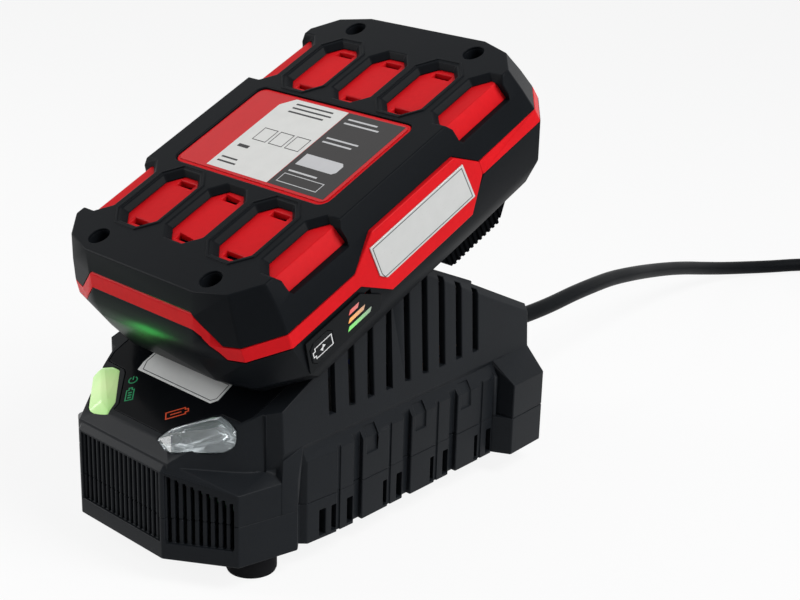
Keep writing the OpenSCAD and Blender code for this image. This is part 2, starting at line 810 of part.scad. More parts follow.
module fuse() {
    color("white") translate([14, 34, board_top + 2.6]) rotate([90, 0, 0])
        cylinder(r = 2.6, h = 20, center = true);
}

blade_w0 = -pack_t - neck_depth + 2.4;
carrier_top = dock_w - wall - 0.3;
blade_w1 = carrier_top - 0.8;
blade_v1 = neck_v0 + 9;
carrier_v = [channel_v0 - wall - 6, channel_v0 - wall];
module contact_carrier() {
    color("dimgray") in_dock() difference() {
        slab([-carrier_half, carrier_v[0], blade_w0 - 2],
            [carrier_half, carrier_v[1], carrier_top]);
        for (i = [-1.5 : 1.5])
            slab([i * blade_pitch - blade_t / 2, carrier_v[0] - 1, blade_w0],
                [i * blade_pitch + blade_t / 2, carrier_v[1] + 1, blade_w1]);
    }
}

module contact_blades() {
    color("gold") in_dock() for (i = [-1.5 : 1.5])
        slab([i * blade_pitch - blade_t / 2, carrier_v[0] - 3, blade_w0],
            [i * blade_pitch + blade_t / 2, blade_v1, blade_w1]);
}

module rubber_feet() {
    color("black") feet_spots() {
        cylinder(r1 = foot_r - 0.6, r2 = foot_r, h = 0.6);
        translate([0, 0, 0.6]) cylinder(r = foot_r, h = base_z - 0.6);
    }
}

module housing_screws() {
    color("silver") at_corners(boss_spots) {
        difference() {
            translate([0, 0, base_z + 1]) cylinder(r = screw_head_r, h = 2);
            translate([0, 0, base_z]) cylinder(r = 1.1, h = 2, $fn = 6);
        }
        translate([0, 0, base_z + 3]) cylinder(r = screw_r - 0.2, h = seam_z - base_z + 4);
    }
}

// ---- mains cord ----------------------------------------------------------------------
relief_out = 13;
module strain_relief() {
    color("#202124") translate([0, y_rear, cord_z]) rotate([-90, 0, 0]) {
        translate([0, 0, -wall - 2]) cylinder(r = relief_r + 1.4, h = 1.8);
        translate([0, 0, -wall - 0.4]) cylinder(r = relief_r, h = wall + 0.5);
        cylinder(r = relief_r + 1.4, h = 1.6);
        translate([0, 0, 1.6])
            cylinder(r1 = relief_r - 0.2, r2 = cord_d / 2 + 0.9, h = relief_out - 1.6);
    }
}

module rod(a, b, r) {
    d = b - a;
    translate(a) rotate([0, acos(d[2] / norm(d)), atan2(d[1], d[0])])
        cylinder(r = r, h = norm(d));
}

// Two insulated leads from the strain relief down to the board.
module mains_leads() {
    y0 = y_rear - wall - 2.6;
    color("saddlebrown") for (s = [-1, 1])
        rod([s * 1.4, y0, cord_z - 1], [s * 3, board_y1 - 4, board_top + 1.1], 1);
}

cord_route = [
    [0, 79.2, 31], [0, 90, 31], [0, 100, 31], [-1, 112, 31], [-3, 126, 31], [-6, 141, 30],
    [-10, 157, 28], [-14, 174, 25], [-19, 192, 21], [-23, 210, 17], [-26, 227, 13],
    [-28, 243, 9], [-28, 257, 6], [-26, 270, 4], [-21, 283, 3], [-14, 295, 3],
    [-5, 306, 3], [5, 316, 3], [15, 325, 4], [24, 331, 6], [31, 334, 7]];
cord_sides = 8;

// Rings square to the route, carried along it from one point to the next.
function route_dir(i) = let (
        a = cord_route[max(0, i - 1)],
        b = cord_route[min(len(cord_route) - 1, i + 1)]
    ) (b - a) / norm(b - a);
function ring(i) = let (
        d = route_dir(i),
        s = cross(d, [0, 0, 1]) / norm(cross(d, [0, 0, 1])),
        t = cross(d, s)
    ) [for (k = [0 : cord_sides - 1])
        cord_route[i] + cord_d / 2 * (cos(k * 360 / cord_sides) * s
            + sin(k * 360 / cord_sides) * t)];

module power_cord() {
    color("#2c2d30") loft([for (i = [0 : len(cord_route) - 1]) ring(i)]);
}

coil_centre = [50, 300];
tie_t = 0.6;
coil_z = bundle_r + tie_t + 0.1;
module cord_coil() {
    color("#2c2d30") translate([coil_centre[0], coil_centre[1], coil_z])
        rotate_extrude($fn = 72) translate([coil_r, 0]) circle(r = bundle_r, $fn = 32);
}

module cord_tie() {
    color("black") translate([coil_centre[0], coil_centre[1], coil_z])
        rotate([0, 0, -95]) rotate_extrude(angle = 10) translate([coil_r, 0]) difference() {
            circle(r = bundle_r + tie_t);
            circle(r = bundle_r + 0.05);
        }
}

plug_out = 36;
plug_x = coil_centre[0] + plug_out;
plug_y = coil_centre[1] - sqrt(pow(coil_r + bundle_r, 2) - pow(plug_out, 2));
plug_z = 7;
plug_len = 34;
pin_pitch = 18.6;
module plug_body() {
    color("#202124") translate([plug_x, plug_y, plug_z]) rotate([90, 0, 0]) {
        translate([0, 0, -1]) cylinder(r1 = cord_d / 2 + 0.6, r2 = 5, h = 12);
        hull() {
            translate([0, 0, 10]) linear_extrude(1) square([13, 10], center = true);
            translate([0, 0, 19]) linear_extrude(1) square([26, 13.6], center = true);
            translate([0, 0, plug_len - 1]) linear_extrude(1)
                square([25, 13], center = true);
        }
    }
}

module plug_pins() {
    color("silver") translate([plug_x, plug_y - plug_len, plug_z])
        for (s = [-1, 1]) translate([s * pin_pitch / 2, 0, 0]) rotate([90, 0, 0]) {
            cylinder(r = 1.9, h = 10);
            translate([0, 0, 10]) cylinder(r = 2, h = 8);
            translate([0, 0, 18]) cylinder(r1 = 2, r2 = 1.2, h = 1);
        }
}

// ---- battery pack --------------------------------------------------------------------
// The pack's outside is lofted through rings of corner points. Each row holds: depth
// below the top face, half widths and half lengths of the three corners of one quarter.
band_w0 = -13.6;
band_w1 = -17.7;
outer_rows = [
    [0, 22.6, top_len, 33.2, top_len - 3.1, top_half - 0.2, top_len - 10, top_half],
    [-6.7, 21.9, band_len - 1.8, 34.2, top_len - 0.7, top_half + 2.2, top_len - 9.2,
        top_half + 2.5],
    [band_w0, 20.6, band_len + 0.8, 35.2, band_len - 3.2, band_half - 0.5, top_len - 8,
        band_half - 0.2],
    [band_w1, 19.8, band_len + 1.2, 35.5, band_len - 2.6, band_half - 0.2, top_len - 7.4,
        band_half],
    [-30, 17.6, band_len - 2, 30.4, band_len - 4.4, band_half - 2.7, top_len - 10,
        band_half - 2.5],
    [-35, 16.6, top_len - 1.2, 27.8, top_len - 3.4, top_half - 1.4, top_len - 14,
        top_half - 1.2],
    [-pack_t, 15.8, top_len - 3.4, 26.6, top_len - 5.4, top_half - 3.4, top_len - 15.6,
        top_half - 3.2]];

function quarter(row, in) = [[row[1], row[2]], [row[3], row[4]], [row[5], row[6]],
    [row[7], 22]] - in * [[0.5, 1], [0.7, 0.7], [1, 0.5], [1, 0]];
function pack_half(row, in) = let (q = quarter(row, in)) concat(
    [for (i = [0 : 3]) [q[i][0], pack_mid - q[i][1]]],
    [for (i = [3 : -1 : 0]) [q[i][0], pack_mid + q[i][1]]]);

// Points of each ring run from the lowest ring up, so the list is turned round.
module pack_outer(in = 0, w_lo = -pack_t, w_hi = 0) {
    last = len(outer_rows) - 1;
    loft([for (i = [last : -1 : 0])
        let (row = outer_rows[i], w = i == last ? w_lo : (i == 0 ? w_hi : row[0]))
            lift(mirrored(pack_half(row, in)), w)]);
}

// The parting line between the top shell and the band: high over the ends, low at the
// corners, and raised again round the side panels. "drop" moves it down.
band_h = 4.1;
side_v = [-24.6, -15.2, 17.6, 25.4];
side_top = -6.9;
side_low = -26.2;
side_flat = band_half - 0.3;
end_half = 21.3;
end_ramp = 30;
end_v = top_len - 8.3;
module above_parting(drop, panel_w) {
    end_w = -5.7 - drop;
    low_w = band_w0 - drop;
    for (s = [-1, 1]) translate([0, pack_mid + s * (end_v + far / 4 - 0.4), 0])
        rotate([90, 0, 0]) linear_extrude(far / 2, center = true)
            polygon([[-end_half, end_w], [-end_ramp, low_w], [-far, low_w], [-far, far],
                [far, far], [far, low_w], [end_ramp, low_w], [end_half, end_w]]);
    across(far) polygon([[pack_mid - end_v, low_w], [side_v[0], low_w],
        [side_v[1], panel_w], [side_v[2], panel_w], [side_v[3], low_w],
        [pack_mid + end_v, low_w], [pack_mid + end_v, far], [pack_mid - end_v, far]]);
}

well_rows = [well_front, well_rear];
well_cols = [-2, -1, 0, 1, 2];
vent_cols = [-1, 0, 1];
vent_size = [3.3, 0.95];
vent_v = 8.7;
function octagon(a, b, c) =
    [[a, c - b], [a, b - c], [a - c, b], [c - a, b], [-a, b - c], [-a, c - b],
        [c - a, -b], [a - c, -b]];

module each_well() {
    for (v = well_rows) for (k = well_cols)
        translate([k * well_pitch, v, 0]) children();
}

well_slope = 1.4;
side_pad_w = -6.4;
module well_cuts() {
    each_well() loft([
        lift(octagon(well_half - well_slope, well_len - well_slope, 3.6), -shell_t - 0.1),
        lift(octagon(well_half + 0.2, well_len + 0.2, 4.2), 0.2)]);
    for (v = well_rows) both_sides()
        translate([2 * well_pitch, v, side_pad_w]) linear_extrude(far)
            polygon(octagon(well_half - well_slope, well_len - well_slope, 3.6));
}

module at_screws() {
    for (s = [-1, 1]) both_sides()
        translate([hole_u, pack_mid + s * hole_v - 0.2, 0]) children();
}

module screw_holes(r) {
    at_screws() translate([0, 0, -far / 2]) cylinder(r = r, h = far);
}

// Raised rims round every other well.
module well_rims() {
    for (v = well_rows) both_sides() translate([well_pitch, v, -0.5]) difference() {
        linear_extrude(0.8) polygon(octagon(well_half + 1.6, well_len + 1.4, 5));
        translate([0, 0, -1]) linear_extrude(3)
            polygon(octagon(well_half + 1, well_len + 0.8, 4.7));
    }
}

window_r = 3;
window_sides = 5;
module window_shape(in) {
    corner = [window_half - window_r, window_v0 + window_r, window_v1 - window_r];
    arc = [for (i = [0 : window_sides]) let (a = i * 90 / window_sides)
        (window_r - in) * [cos(a), sin(a)]];
    polygon(mirrored(concat(
        [for (i = [window_sides : -1 : 0]) [corner[0] + arc[i][0], corner[1] - arc[i][1]]],
        [for (p = arc) [corner[0] + p[0], corner[2] + p[1]]])));
}

module pack_top_shell() {
    color(ink_black) in_dock() difference() {
        union() {
            intersection() {
                pack_outer();
                above_parting(0, side_top);
            }
            intersection() {
                well_rims();
                pack_outer(0, -pack_t, 0.3);
            }
        }
        pack_outer(shell_t, -pack_t + shell_t, -shell_t);
        well_cuts();
        translate([0, 0, -far / 2]) linear_extrude(far) window_shape(0);
        screw_holes(hole_r);
    }
}

// Hexagonal red side panel, one side, from "inner" outwards.
module side_panel(inner, t) {
    translate([inner, 0, 0]) rotate([90, 0, 90]) linear_extrude(t)
        polygon([[side_v[0], band_w0 - nest_gap], [side_v[1], side_top - nest_gap],
            [side_v[2], side_top - nest_gap], [side_v[3], band_w0 - nest_gap],
            [side_v[3], band_w1], [side_v[2], side_low], [side_v[1], side_low],
            [side_v[0], band_w1]]);
}

core_bottom = -26.6;
sleeve_r = hole_r + 0.8;
sleeve_w = -hole_depth - 2;
module core_shell() {
    inner = shell_t + nest_gap;
    difference() {
        union() {
            intersection() {
                pack_outer(inner, -pack_t + inner, -inner);
                translate([-far, -far, core_bottom]) cube(2 * far);
            }
            intersection() {
                pack_outer();
                difference() {
                    above_parting(band_h, side_low + nest_gap);
                    above_parting(nest_gap, side_top - nest_gap);
                }
            }
            both_sides() side_panel(side_flat - 3.5, 3.5);
            translate([0, 0, -4]) linear_extrude(4 - 0.5) window_shape(nest_gap);
        }
        pack_outer(inner + core_t, core_bottom - 1, -inner - core_t);
        both_sides() side_panel(side_flat, 2);
    }
}

module pack_core() {
    color(signal_red) in_dock() difference() {
        union() {
            core_shell();
            at_screws() translate([0, 0, sleeve_w])
                cylinder(r = sleeve_r, h = -shell_t - core_t - sleeve_w);
        }
        screw_holes(screw_r + 0.3);
        at_screws() translate([0, 0, -hole_depth]) cylinder(r = hole_r, h = far);
        in_level() translate([button_v, 0, -9]) button_outline(1.2, 10);
        for (v = well_rows) for (k = vent_cols) for (s = [-1, 1])
            translate([k * well_pitch, v + s * vent_v, 0])
                slab([-vent_size[0], -vent_size[1], -9], [vent_size[0], vent_size[1], 1]);
    }
}

floor_w = -pack_t + shell_t;
latch_half = 6;
stem_half = 12;
module neck() {
    low = -pack_t - neck_depth;
    slab([-neck_half, neck_v0, low], [neck_half, neck_v1, floor_w]);
    slab([-neck_half - rail_out, neck_v0, low],
        [neck_half + rail_out, neck_v1, low + rail_h]);
}

module pack_bottom_shell() {
    color(ink_black) in_dock() difference() {
        union() {
            difference() {
                intersection() {
                    pack_outer();
                    translate([-far, -far, -far]) cube([2 * far, 2 * far, far]);
                }
                above_parting(band_h + nest_gap, side_low - nest_gap);
                both_sides() side_panel(side_flat - 3.6, 6);
                pack_outer(shell_t, floor_w, -shell_t);
            }
            neck();
            screw_posts();
            spring_stops();
        }
        slab([-neck_half + shell_t, neck_v0 + shell_t, -pack_t - neck_depth + shell_t],
            [neck_half - shell_t, neck_v1 - shell_t, floor_w + 1]);
        for (i = [-1.5 : 1.5])
            slab([i * blade_pitch - 1.2, neck_v0 - 1, blade_w0 - 0.6],
                [i * blade_pitch + 1.2, neck_v0 + shell_t + 1, blade_w1 + 0.6]);
        slab([-latch_half - 0.3, latch_v[0] - 0.3, -far], [latch_half + 0.3, latch_v[1] + 0.3, -30]);
        both_sides() slab([stem_half - 0.3, stem_v[0] - 0.3, -far],
            [stem_half + 6.3, stem_v[1] + slider_travel + 0.3, -30]);
        screw_holes(screw_r - 0.2);
        in_level() slab([0.4, -3.4, -4], [11.4, 3.6, 2]);
        in_level() translate([button_v, 0, -6]) button_outline(0.15, 8);
    }
}

module screw_posts() {
    at_screws() translate([0, 0, floor_w - 0.5])
        cylinder(r = post_r, h = sleeve_w - nest_gap - floor_w + 0.5);
}

// Ribs on the floor that the slider's springs push against.
module spring_stops() {
    v = stem_v[1] + 1 + spring_len;
    both_sides() slab([stem_half, v, floor_w - 0.5], [stem_half + 6, v + 1.4, floor_w + 3.2]);
}

module pack_screws() {
    color("dimgray") in_dock() at_screws() translate([0, 0, -hole_depth]) {
        difference() {
            cylinder(r = hole_r - 0.3, h = 1.6);
            translate([0, 0, 0.6]) cylinder(r = 1.2, h = 3, $fn = 6);
        }
        translate([0, 0, -15]) cylinder(r = screw_r - 0.2, h = 15);
    }
}

module rating_plate() {
    color("white") in_dock() translate([0, 0, -0.5])
        linear_extrude(0.25) window_shape(1.2);
}

module side_plates() {
    color("gainsboro") in_dock() both_sides()
        translate([side_flat, 0, 0]) rotate([90, 0, 90]) linear_extrude(0.4)
            polygon([[-17.8, -10.3], [19.4, -10.3], [20.2, -21.4], [-15.8, -21.4],
                [-17.8, -19.4]]);
}

// ---- charge level display on the right side ------------------------------------------
// Frame on the leaning side of the bottom shell: x along the pack, y up the wall and
// z outwards.
level_lean = atan2(2.7, 30 + band_w1);
level_mid = -24.2;
module in_level() {
    translate([band_half - 1.3, pack_mid - top_len + level_setback, level_mid])
        rotate([0, 0, 90]) rotate([90 + level_lean, 0, 0]) children();
}
level_half = 14;
level_setback = 24.3;
button_v = -8.4;
button_half = [4.1, 3.6];
window_v = 1.2;
window_low = -2.4;

// Cut-cornered outline of the level button, from its foot up.
module button_outline(grow, h) {
    linear_extrude(h) offset(delta = grow)
        polygon(octagon(button_half[0], button_half[1], 1.4));
}

module level_panel() {
    color(panel_black) in_dock() in_level() difference() {
        translate([0, 0, 0.1]) linear_extrude(0.4)
            polygon([[-level_half, -5.2], [-level_half + 0.8, 5.4], [7.4, 5.4],
                [level_half + 0.4, -1], [level_half - 1, -5.2]]);
        translate([button_v, 0, -1]) button_outline(0.15, 3);
        translate([0, 0, -1]) linear_extrude(3) window_bars(0.1);
    }
}

// Three bars, each longer than the one above it.
window_lengths = [8.6, 5.9, 3.4];
window_pitch = 2.5;
module window_bars(grow) {
    for (i = [0 : 2]) translate([window_v + i * 0.7, window_low + i * window_pitch])
        offset(delta = grow) polygon([[-0.4, -0.65], [window_lengths[i] - 0.4, -0.65],
            [window_lengths[i] + 0.4, 0.65], [0.4, 0.65]]);
}

module level_windows() {
    color("palegreen") in_dock() in_level() translate([0, 0, -0.6])
        linear_extrude(1.1) window_bars(0);
}

module level_button() {
    color(panel_black) in_dock() in_level() translate([button_v, 0, 0]) {
        translate([0, 0, -2.6]) button_outline(0, 3.3);
        translate([0, 0, -3.4]) button_outline(0.6, 0.9);
    }
}

// ---- inside the pack -----------------------------------------------------------------
cell_w = -14.6;
first_cell = -(cell_count - 1) / 2 * cell_pitch;
holder_t = 5;
module cell(i) {
    color("steelblue") in_dock() translate([0, pack_mid + first_cell + i * cell_pitch, cell_w])
        rotate([0, 90, 0]) {
            cylinder(d = cell_d, h = cell_len, center = true);
        }
}

module cell_holder() {
    v = -first_cell + cell_d / 2 + 1;
    difference() {
        slab([cell_len / 2 - holder_t, pack_mid - v, cell_w - cell_d / 2 - 0.8],
            [cell_len / 2 - 0.1, pack_mid + v, cell_w + cell_d / 2 + 0.8]);
        for (i = [0 : cell_count - 1])
            translate([0, pack_mid + first_cell + i * cell_pitch, cell_w])
                rotate([0, 90, 0]) cylinder(d = cell_d + 0.1, h = far);
    }
}

module cell_holder_left() {
    color("dimgray") in_dock() mirror([1, 0, 0]) cell_holder();
}

module cell_holder_right() {
    color("dimgray") in_dock() cell_holder();
}

module cell_straps() {
    color("silver") in_dock() both_sides()
        for (k = [0 : 1]) let (v = pack_mid + first_cell + 2 * k * cell_pitch)
            slab([cell_len / 2, v - 4, cell_w - 3], [cell_len / 2 + 0.3,
                v + cell_pitch + 4, cell_w + 3]);
}

board_w = -29.5;
pack_board_half = band_half - 13.8;
pack_board_v = [pack_mid - top_len + 15.6, pack_mid + top_len - 22.2];
module pack_board() {
    color("darkgreen") in_dock() {
        slab([-pack_board_half, pack_board_v[0], board_w],
            [pack_board_half, pack_board_v[1], board_w + 1.2]);
        both_sides() for (v = [pack_board_v[0] + 4, pack_board_v[1] - 4])
            slab([pack_board_half - 4, v, board_w + 1.2],
                [pack_board_half, v + 3, cell_w - cell_d / 2 - 0.8]);
    }
}

module pack_terminals() {
    top = board_w;
    color("gold") in_dock() for (i = [-1.5 : 1.5]) difference() {
        slab([i * blade_pitch - 2, neck_v0 + shell_t + 0.8, blade_w0 - 0.2],
            [i * blade_pitch + 2, blade_v1 + 2, top]);
        slab([i * blade_pitch - blade_t / 2 - dock_gap, neck_v0, blade_w0 - 1],
            [i * blade_pitch + blade_t / 2 + dock_gap, blade_v1 + 0.6, blade_w1 + 0.8]);
    }
}

// ---- release slider and latch --------------------------------------------------------
latch_v = [3.2, 7.2];
stem_v = [18, 30];
slider_top = -pack_t - dock_gap;
rib_pitch = 1.9;
rib_count = floor((slider_v1 - slider_v0 - 9) / rib_pitch);
module release_slider() {
    low = -pack_t - slider_depth;
    color("#1c1d20") in_dock() difference() {
        union() {
            translate([0, 0, 0]) across(slider_half)
                polygon([[slider_v0, slider_top], [slider_v0 + 5.2, low],
                    [slider_v1 - 6.4, low], [slider_v1, slider_top - 1.2],
                    [slider_v1, slider_top]]);
            both_sides() {
                slab([stem_half, stem_v[0], slider_top - eps],
                    [stem_half + 6, stem_v[1], floor_w + 0.3]);
                slab([stem_half - 1.5, stem_v[0] - 1, floor_w + 0.3],
                    [stem_half + 7.5, stem_v[1] + 1, floor_w + 1.8]);
            }
        }
        across(slider_half - 2.5)
            polygon([[slider_v0 + 3.6, slider_top - 2.5], [slider_v0 + 6.3, low - eps],
                [slider_v1 - 7.6, low - eps], [slider_v1 - 3.8, slider_top - 2.5]]);
        both_sides() for (i = [0 : rib_count])
            slab([slider_half - 0.6, slider_v0 + 3.2 + i * rib_pitch, -far],
                [slider_half + 1, slider_v0 + 4.1 + i * rib_pitch, slider_top - 0.8]);
    }
}

spring_len = 6;
spring_turns = 5;
spring_r = 1.1;
wire_r = 0.22;
function coil_ring(i, n) = let (
        t = i * 360 * spring_turns / n,
        c = [cos(t), 0, sin(t)]
    ) [for (k = [0 : 5])
        (spring_r + wire_r * cos(k * 60)) * c
            + [0, wire_r + i * (spring_len - 2 * wire_r) / n + wire_r * sin(k * 60), 0]];

// One compression spring on each side between the slider's foot and a stop on the shell.
module slider_springs() {
    n = spring_turns * 8;
    color("silver") in_dock() both_sides()
        translate([stem_half + 3, stem_v[1] + 1, floor_w + 0.3 + spring_r + wire_r])
            loft([for (i = [0 : n]) coil_ring(i, n)]);
}

module latch() {
    tip = -pack_t - 6.4;
    color("dimgray") in_dock() {
        across(latch_half) polygon([[latch_v[0], floor_w + 0.6], [latch_v[0], tip + 2.6],
            [latch_v[0] + 1, tip], [latch_v[1] - 1, tip], [latch_v[1], tip + 1],
            [latch_v[1], floor_w + 0.6]]);
        slab([-latch_half - 2, latch_v[0] - 1.2, floor_w + 0.3],
            [latch_half + 2, latch_v[1] + 1.2, floor_w + 1.6]);
    }
}

// ---- drawing -------------------------------------------------------------------------
lower_housing();
upper_housing();
display_panel();
display_plate();
lens_left();
lens_right();
indicator_leds();
indicator_board();
circuit_board();
transformer_core();
transformer_winding();
capacitors();
heat_sink();
power_transistor();
fuse();
contact_carrier();
contact_blades();
rubber_feet();
housing_screws();
board_screws();
mains_leads();
strain_relief();
power_cord();
cord_coil();
cord_tie();
plug_body();
plug_pins();
pack_top_shell();
pack_core();
pack_bottom_shell();
rating_plate();
side_plates();
level_panel();
level_windows();
level_button();
for (i = [0 : cell_count - 1])
    cell(i);
cell_holder_left();
cell_holder_right();
cell_straps();
pack_board();
pack_terminals();
pack_screws();
release_slider();
slider_springs();
latch();
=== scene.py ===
"""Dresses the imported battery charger: rounded edges, finishes, labels, cord and studio."""

import json
import math

import bmesh
import bpy
from bpy.props import FloatProperty, FloatVectorProperty, IntProperty, PointerProperty
from mathutils import Matrix, Vector
from mathutils.bvhtree import BVHTree
from mathutils.geometry import intersect_point_line
from mathutils.kdtree import KDTree


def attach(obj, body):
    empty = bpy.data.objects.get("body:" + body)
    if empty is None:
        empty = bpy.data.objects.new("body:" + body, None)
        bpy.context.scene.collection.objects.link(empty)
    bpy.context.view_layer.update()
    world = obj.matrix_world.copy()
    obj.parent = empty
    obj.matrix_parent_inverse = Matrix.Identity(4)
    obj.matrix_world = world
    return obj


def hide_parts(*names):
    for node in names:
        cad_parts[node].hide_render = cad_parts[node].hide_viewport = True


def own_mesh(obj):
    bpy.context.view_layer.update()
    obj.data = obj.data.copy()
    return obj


bl_info = {
    "name": "Battery charger dresser",
    "version": (1, 0, 0),
    "blender": (4, 5, 0),
    "location": "View3D > Sidebar > Charger",
    "description": "Rounds, finishes and labels a charger with a docked battery pack",
    "category": "Object",
}

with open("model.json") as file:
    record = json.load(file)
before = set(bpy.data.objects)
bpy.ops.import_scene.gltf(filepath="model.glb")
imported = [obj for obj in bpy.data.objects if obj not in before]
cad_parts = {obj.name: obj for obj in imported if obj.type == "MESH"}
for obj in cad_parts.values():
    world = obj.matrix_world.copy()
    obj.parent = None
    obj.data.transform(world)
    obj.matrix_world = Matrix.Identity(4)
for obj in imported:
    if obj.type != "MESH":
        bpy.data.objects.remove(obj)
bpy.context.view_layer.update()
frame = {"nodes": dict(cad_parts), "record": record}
NODES = frame["nodes"]
RECORD = frame["record"]
SLOTS = {part["node"]: part["material_slot"] for part in RECORD["subparts"]}
JOINTS = {joint["name"]: joint for joint in RECORD["behaviour"]["joints"]}

MM = 0.001
QUARTER_TURN = math.radians(90)
_, SLIDE_RUN, SLIDE_RISE = JOINTS["pack_slide"]["axis"]
TILT = math.atan2(SLIDE_RISE, SLIDE_RUN)
DOCK_SPOT = Vector((0, -7.2, 105.3))  # middle of the docked pack's top, in mm
DOCK = Matrix.Translation(DOCK_SPOT * MM) @ Matrix.Rotation(TILT, 4, "X")
LEVEL_SPOT = Vector((42.5, -33.1, -24.2))  # middle of the level display, in dock's frame
LEVEL_LEAN = math.atan2(2.7, 12.3)  # the display leans in 2.7 mm over 12.3 mm
LEVEL = (
    DOCK
    @ Matrix.Translation(LEVEL_SPOT * MM)
    @ Matrix.Rotation(QUARTER_TURN, 4, "Z")
    @ Matrix.Rotation(QUARTER_TURN + LEVEL_LEAN, 4, "X")
)


def dock(u, v, w):
    """A point given across, along and square to the pack's top, in mm."""
    return DOCK @ (Vector((u, v, w)) * MM)


# ---- sizes and colours a user would change --------------------------------------------
def length(name, text, default):
    return FloatProperty(name=name, description=text, default=default, unit="LENGTH")


def colour(name, text, default):
    return FloatVectorProperty(name=name, description=text, default=default, subtype="COLOR")


class ChargerSizes(bpy.types.PropertyGroup):
    housing_edge: length("Housing edge", "Radius of the housing's edges", 0.35 * MM)
    pack_edge: length("Pack edge", "Radius of the pack's edges", 0.45 * MM)
    lens_edge: length("Lens edge", "Radius of the lenses' edges", 0.6 * MM)
    cord_width: length("Cord diameter", "Diameter of the mains cord", 5.4 * MM)
    grain: length("Grain", "Size of the moulded grain", 0.35 * MM)
    row_pitch: length("Row pitch", "Pitch of the printed rows on the label", 1.75 * MM)
    row_seed: IntProperty(
        name="Row seed", description="Seed of the printed rows' lengths", default=7
    )


class ChargerColours(bpy.types.PropertyGroup):
    housing: colour("Housing", "Colour of the charger's housing", (0.0082, 0.0096, 0.0116))
    pack: colour("Pack", "Colour of the pack's black shells", (0.0052, 0.0062, 0.0076))
    red: colour("Red", "Colour of the pack's core", (0.56, 0.008, 0.012))
    lit: colour("Lit lens", "Colour of the lit lens", (0.36, 0.58, 0.22))
    silver: colour("Silver", "Colour of the plates", (0.56, 0.565, 0.555))
    cord: colour("Cord", "Colour of the cord's sheath", (0.006, 0.0068, 0.0078))


def sizes():
    return bpy.context.scene.charger_sizes


def colours():
    return bpy.context.scene.charger_colours


# ---- shader maths ---------------------------------------------------------------------
class Value:
    """A number socket that can be added, subtracted, multiplied and divided."""

    def __init__(self, paint, socket):
        self.paint = paint
        self.socket = socket

    def _math(self, operation, a, b):
        return self.paint.node("ShaderNodeMath", {"operation": operation}, {0: a, 1: b})

    def __add__(self, other):
        return self._math("ADD", self, other)

    def __radd__(self, other):
        return self._math("ADD", other, self)

    def __sub__(self, other):
        return self._math("SUBTRACT", self, other)

    def __mul__(self, other):
        return self._math("MULTIPLY", self, other)

    def __truediv__(self, other):
        return self._math("DIVIDE", self, other)

    def power(self, other):
        return self._math("POWER", self, other)

    def most(self, other):
        return self._math("MAXIMUM", self, other)

    def least(self, other):
        return self._math("MINIMUM", self, other)


class Paint:
    """A material under construction on one Principled surface."""

    def __init__(self, name):
        self.material = bpy.data.materials.new(name)
        self.material.use_nodes = True
        self.tree = self.material.node_tree
        self.surface = self.tree.nodes["Principled BSDF"]

    def node(self, kind, settings=None, inputs=None, out=0):
        made = self.tree.nodes.new(kind)
        for key, value in (settings or {}).items():
            setattr(made, key, value)
        for key, value in (inputs or {}).items():
            self.feed(made.inputs[key], value)
        return Value(self, made.outputs[out])

    def feed(self, socket, value):
        if isinstance(value, Value):
            self.tree.links.new(value.socket, socket)
        else:
            socket.default_value = value

    def set(self, **values):
        for key, value in values.items():
            self.feed(self.surface.inputs[key.replace("_", " ")], value)
        return self

    def place(self, scale=(1, 1, 1), move=(0, 0, 0)):
        """Object coordinates, scaled and then moved."""
        where = self.node("ShaderNodeTexCoord", out="Object")
        return self.node(
            "ShaderNodeMapping", inputs={"Vector": where, "Scale": scale, "Location": move}
        )

    def noise(self, size, detail, where=None):
        return self.node(
            "ShaderNodeTexNoise",
            inputs={"Vector": where or self.place(), "Scale": 1.0 / size, "Detail": detail},
        )

    def cells(self, size):
        return self.node(
            "ShaderNodeTexVoronoi", inputs={"Vector": self.place(), "Scale": 1.0 / size}
        )

    def blend(self, amount, a, b):
        """A colour between a and b, through the colour sockets of a mix node."""
        mix = self.tree.nodes.new("ShaderNodeMix")
        mix.data_type = "RGBA"
        self.feed(mix.inputs[0], amount)
        self.feed(mix.inputs[6], a if isinstance(a, Value) else (*a, 1))
        self.feed(mix.inputs[7], b if isinstance(b, Value) else (*b, 1))
        return Value(self, mix.outputs[2])

    def bump(self, height, depth, strength):
        inputs = {"Height": height, "Distance": depth, "Strength": strength}
        return self.set(Normal=self.node("ShaderNodeBump", inputs=inputs))


def tint(base, share):
    """A colour made darker or lighter, up to full in each channel."""
    return tuple(min(1.0, channel * share) for channel in base)


# ---- finishes -------------------------------------------------------------------------
def moulded(name, base, rough, depth=0.03 * MM, grain=None, sheen=0.045):
    """Grained moulding: fine pebbled bump, with slightly uneven gloss and tone."""
    paint = Paint(name)
    size = grain or sizes().grain
    pebbles = paint.noise(size, 2.0)
    cloud = paint.noise(28 * MM, 3.0)
    speck = paint.noise(1.4 * MM, 2.0)
    tone = paint.blend(cloud, tint(base, 0.8), tint(base, 1.25))
    paint.set(
        Base_Color=paint.blend(speck * 0.25, tone, tint(base, 1.6)),
        Roughness=rough + (cloud - 0.5) * 0.12 + (pebbles - 0.5) * 0.1,
        Specular_IOR_Level=sheen,
    )
    return paint.bump(pebbles + paint.cells(size * 1.7) * 0.5, depth, 0.6).material


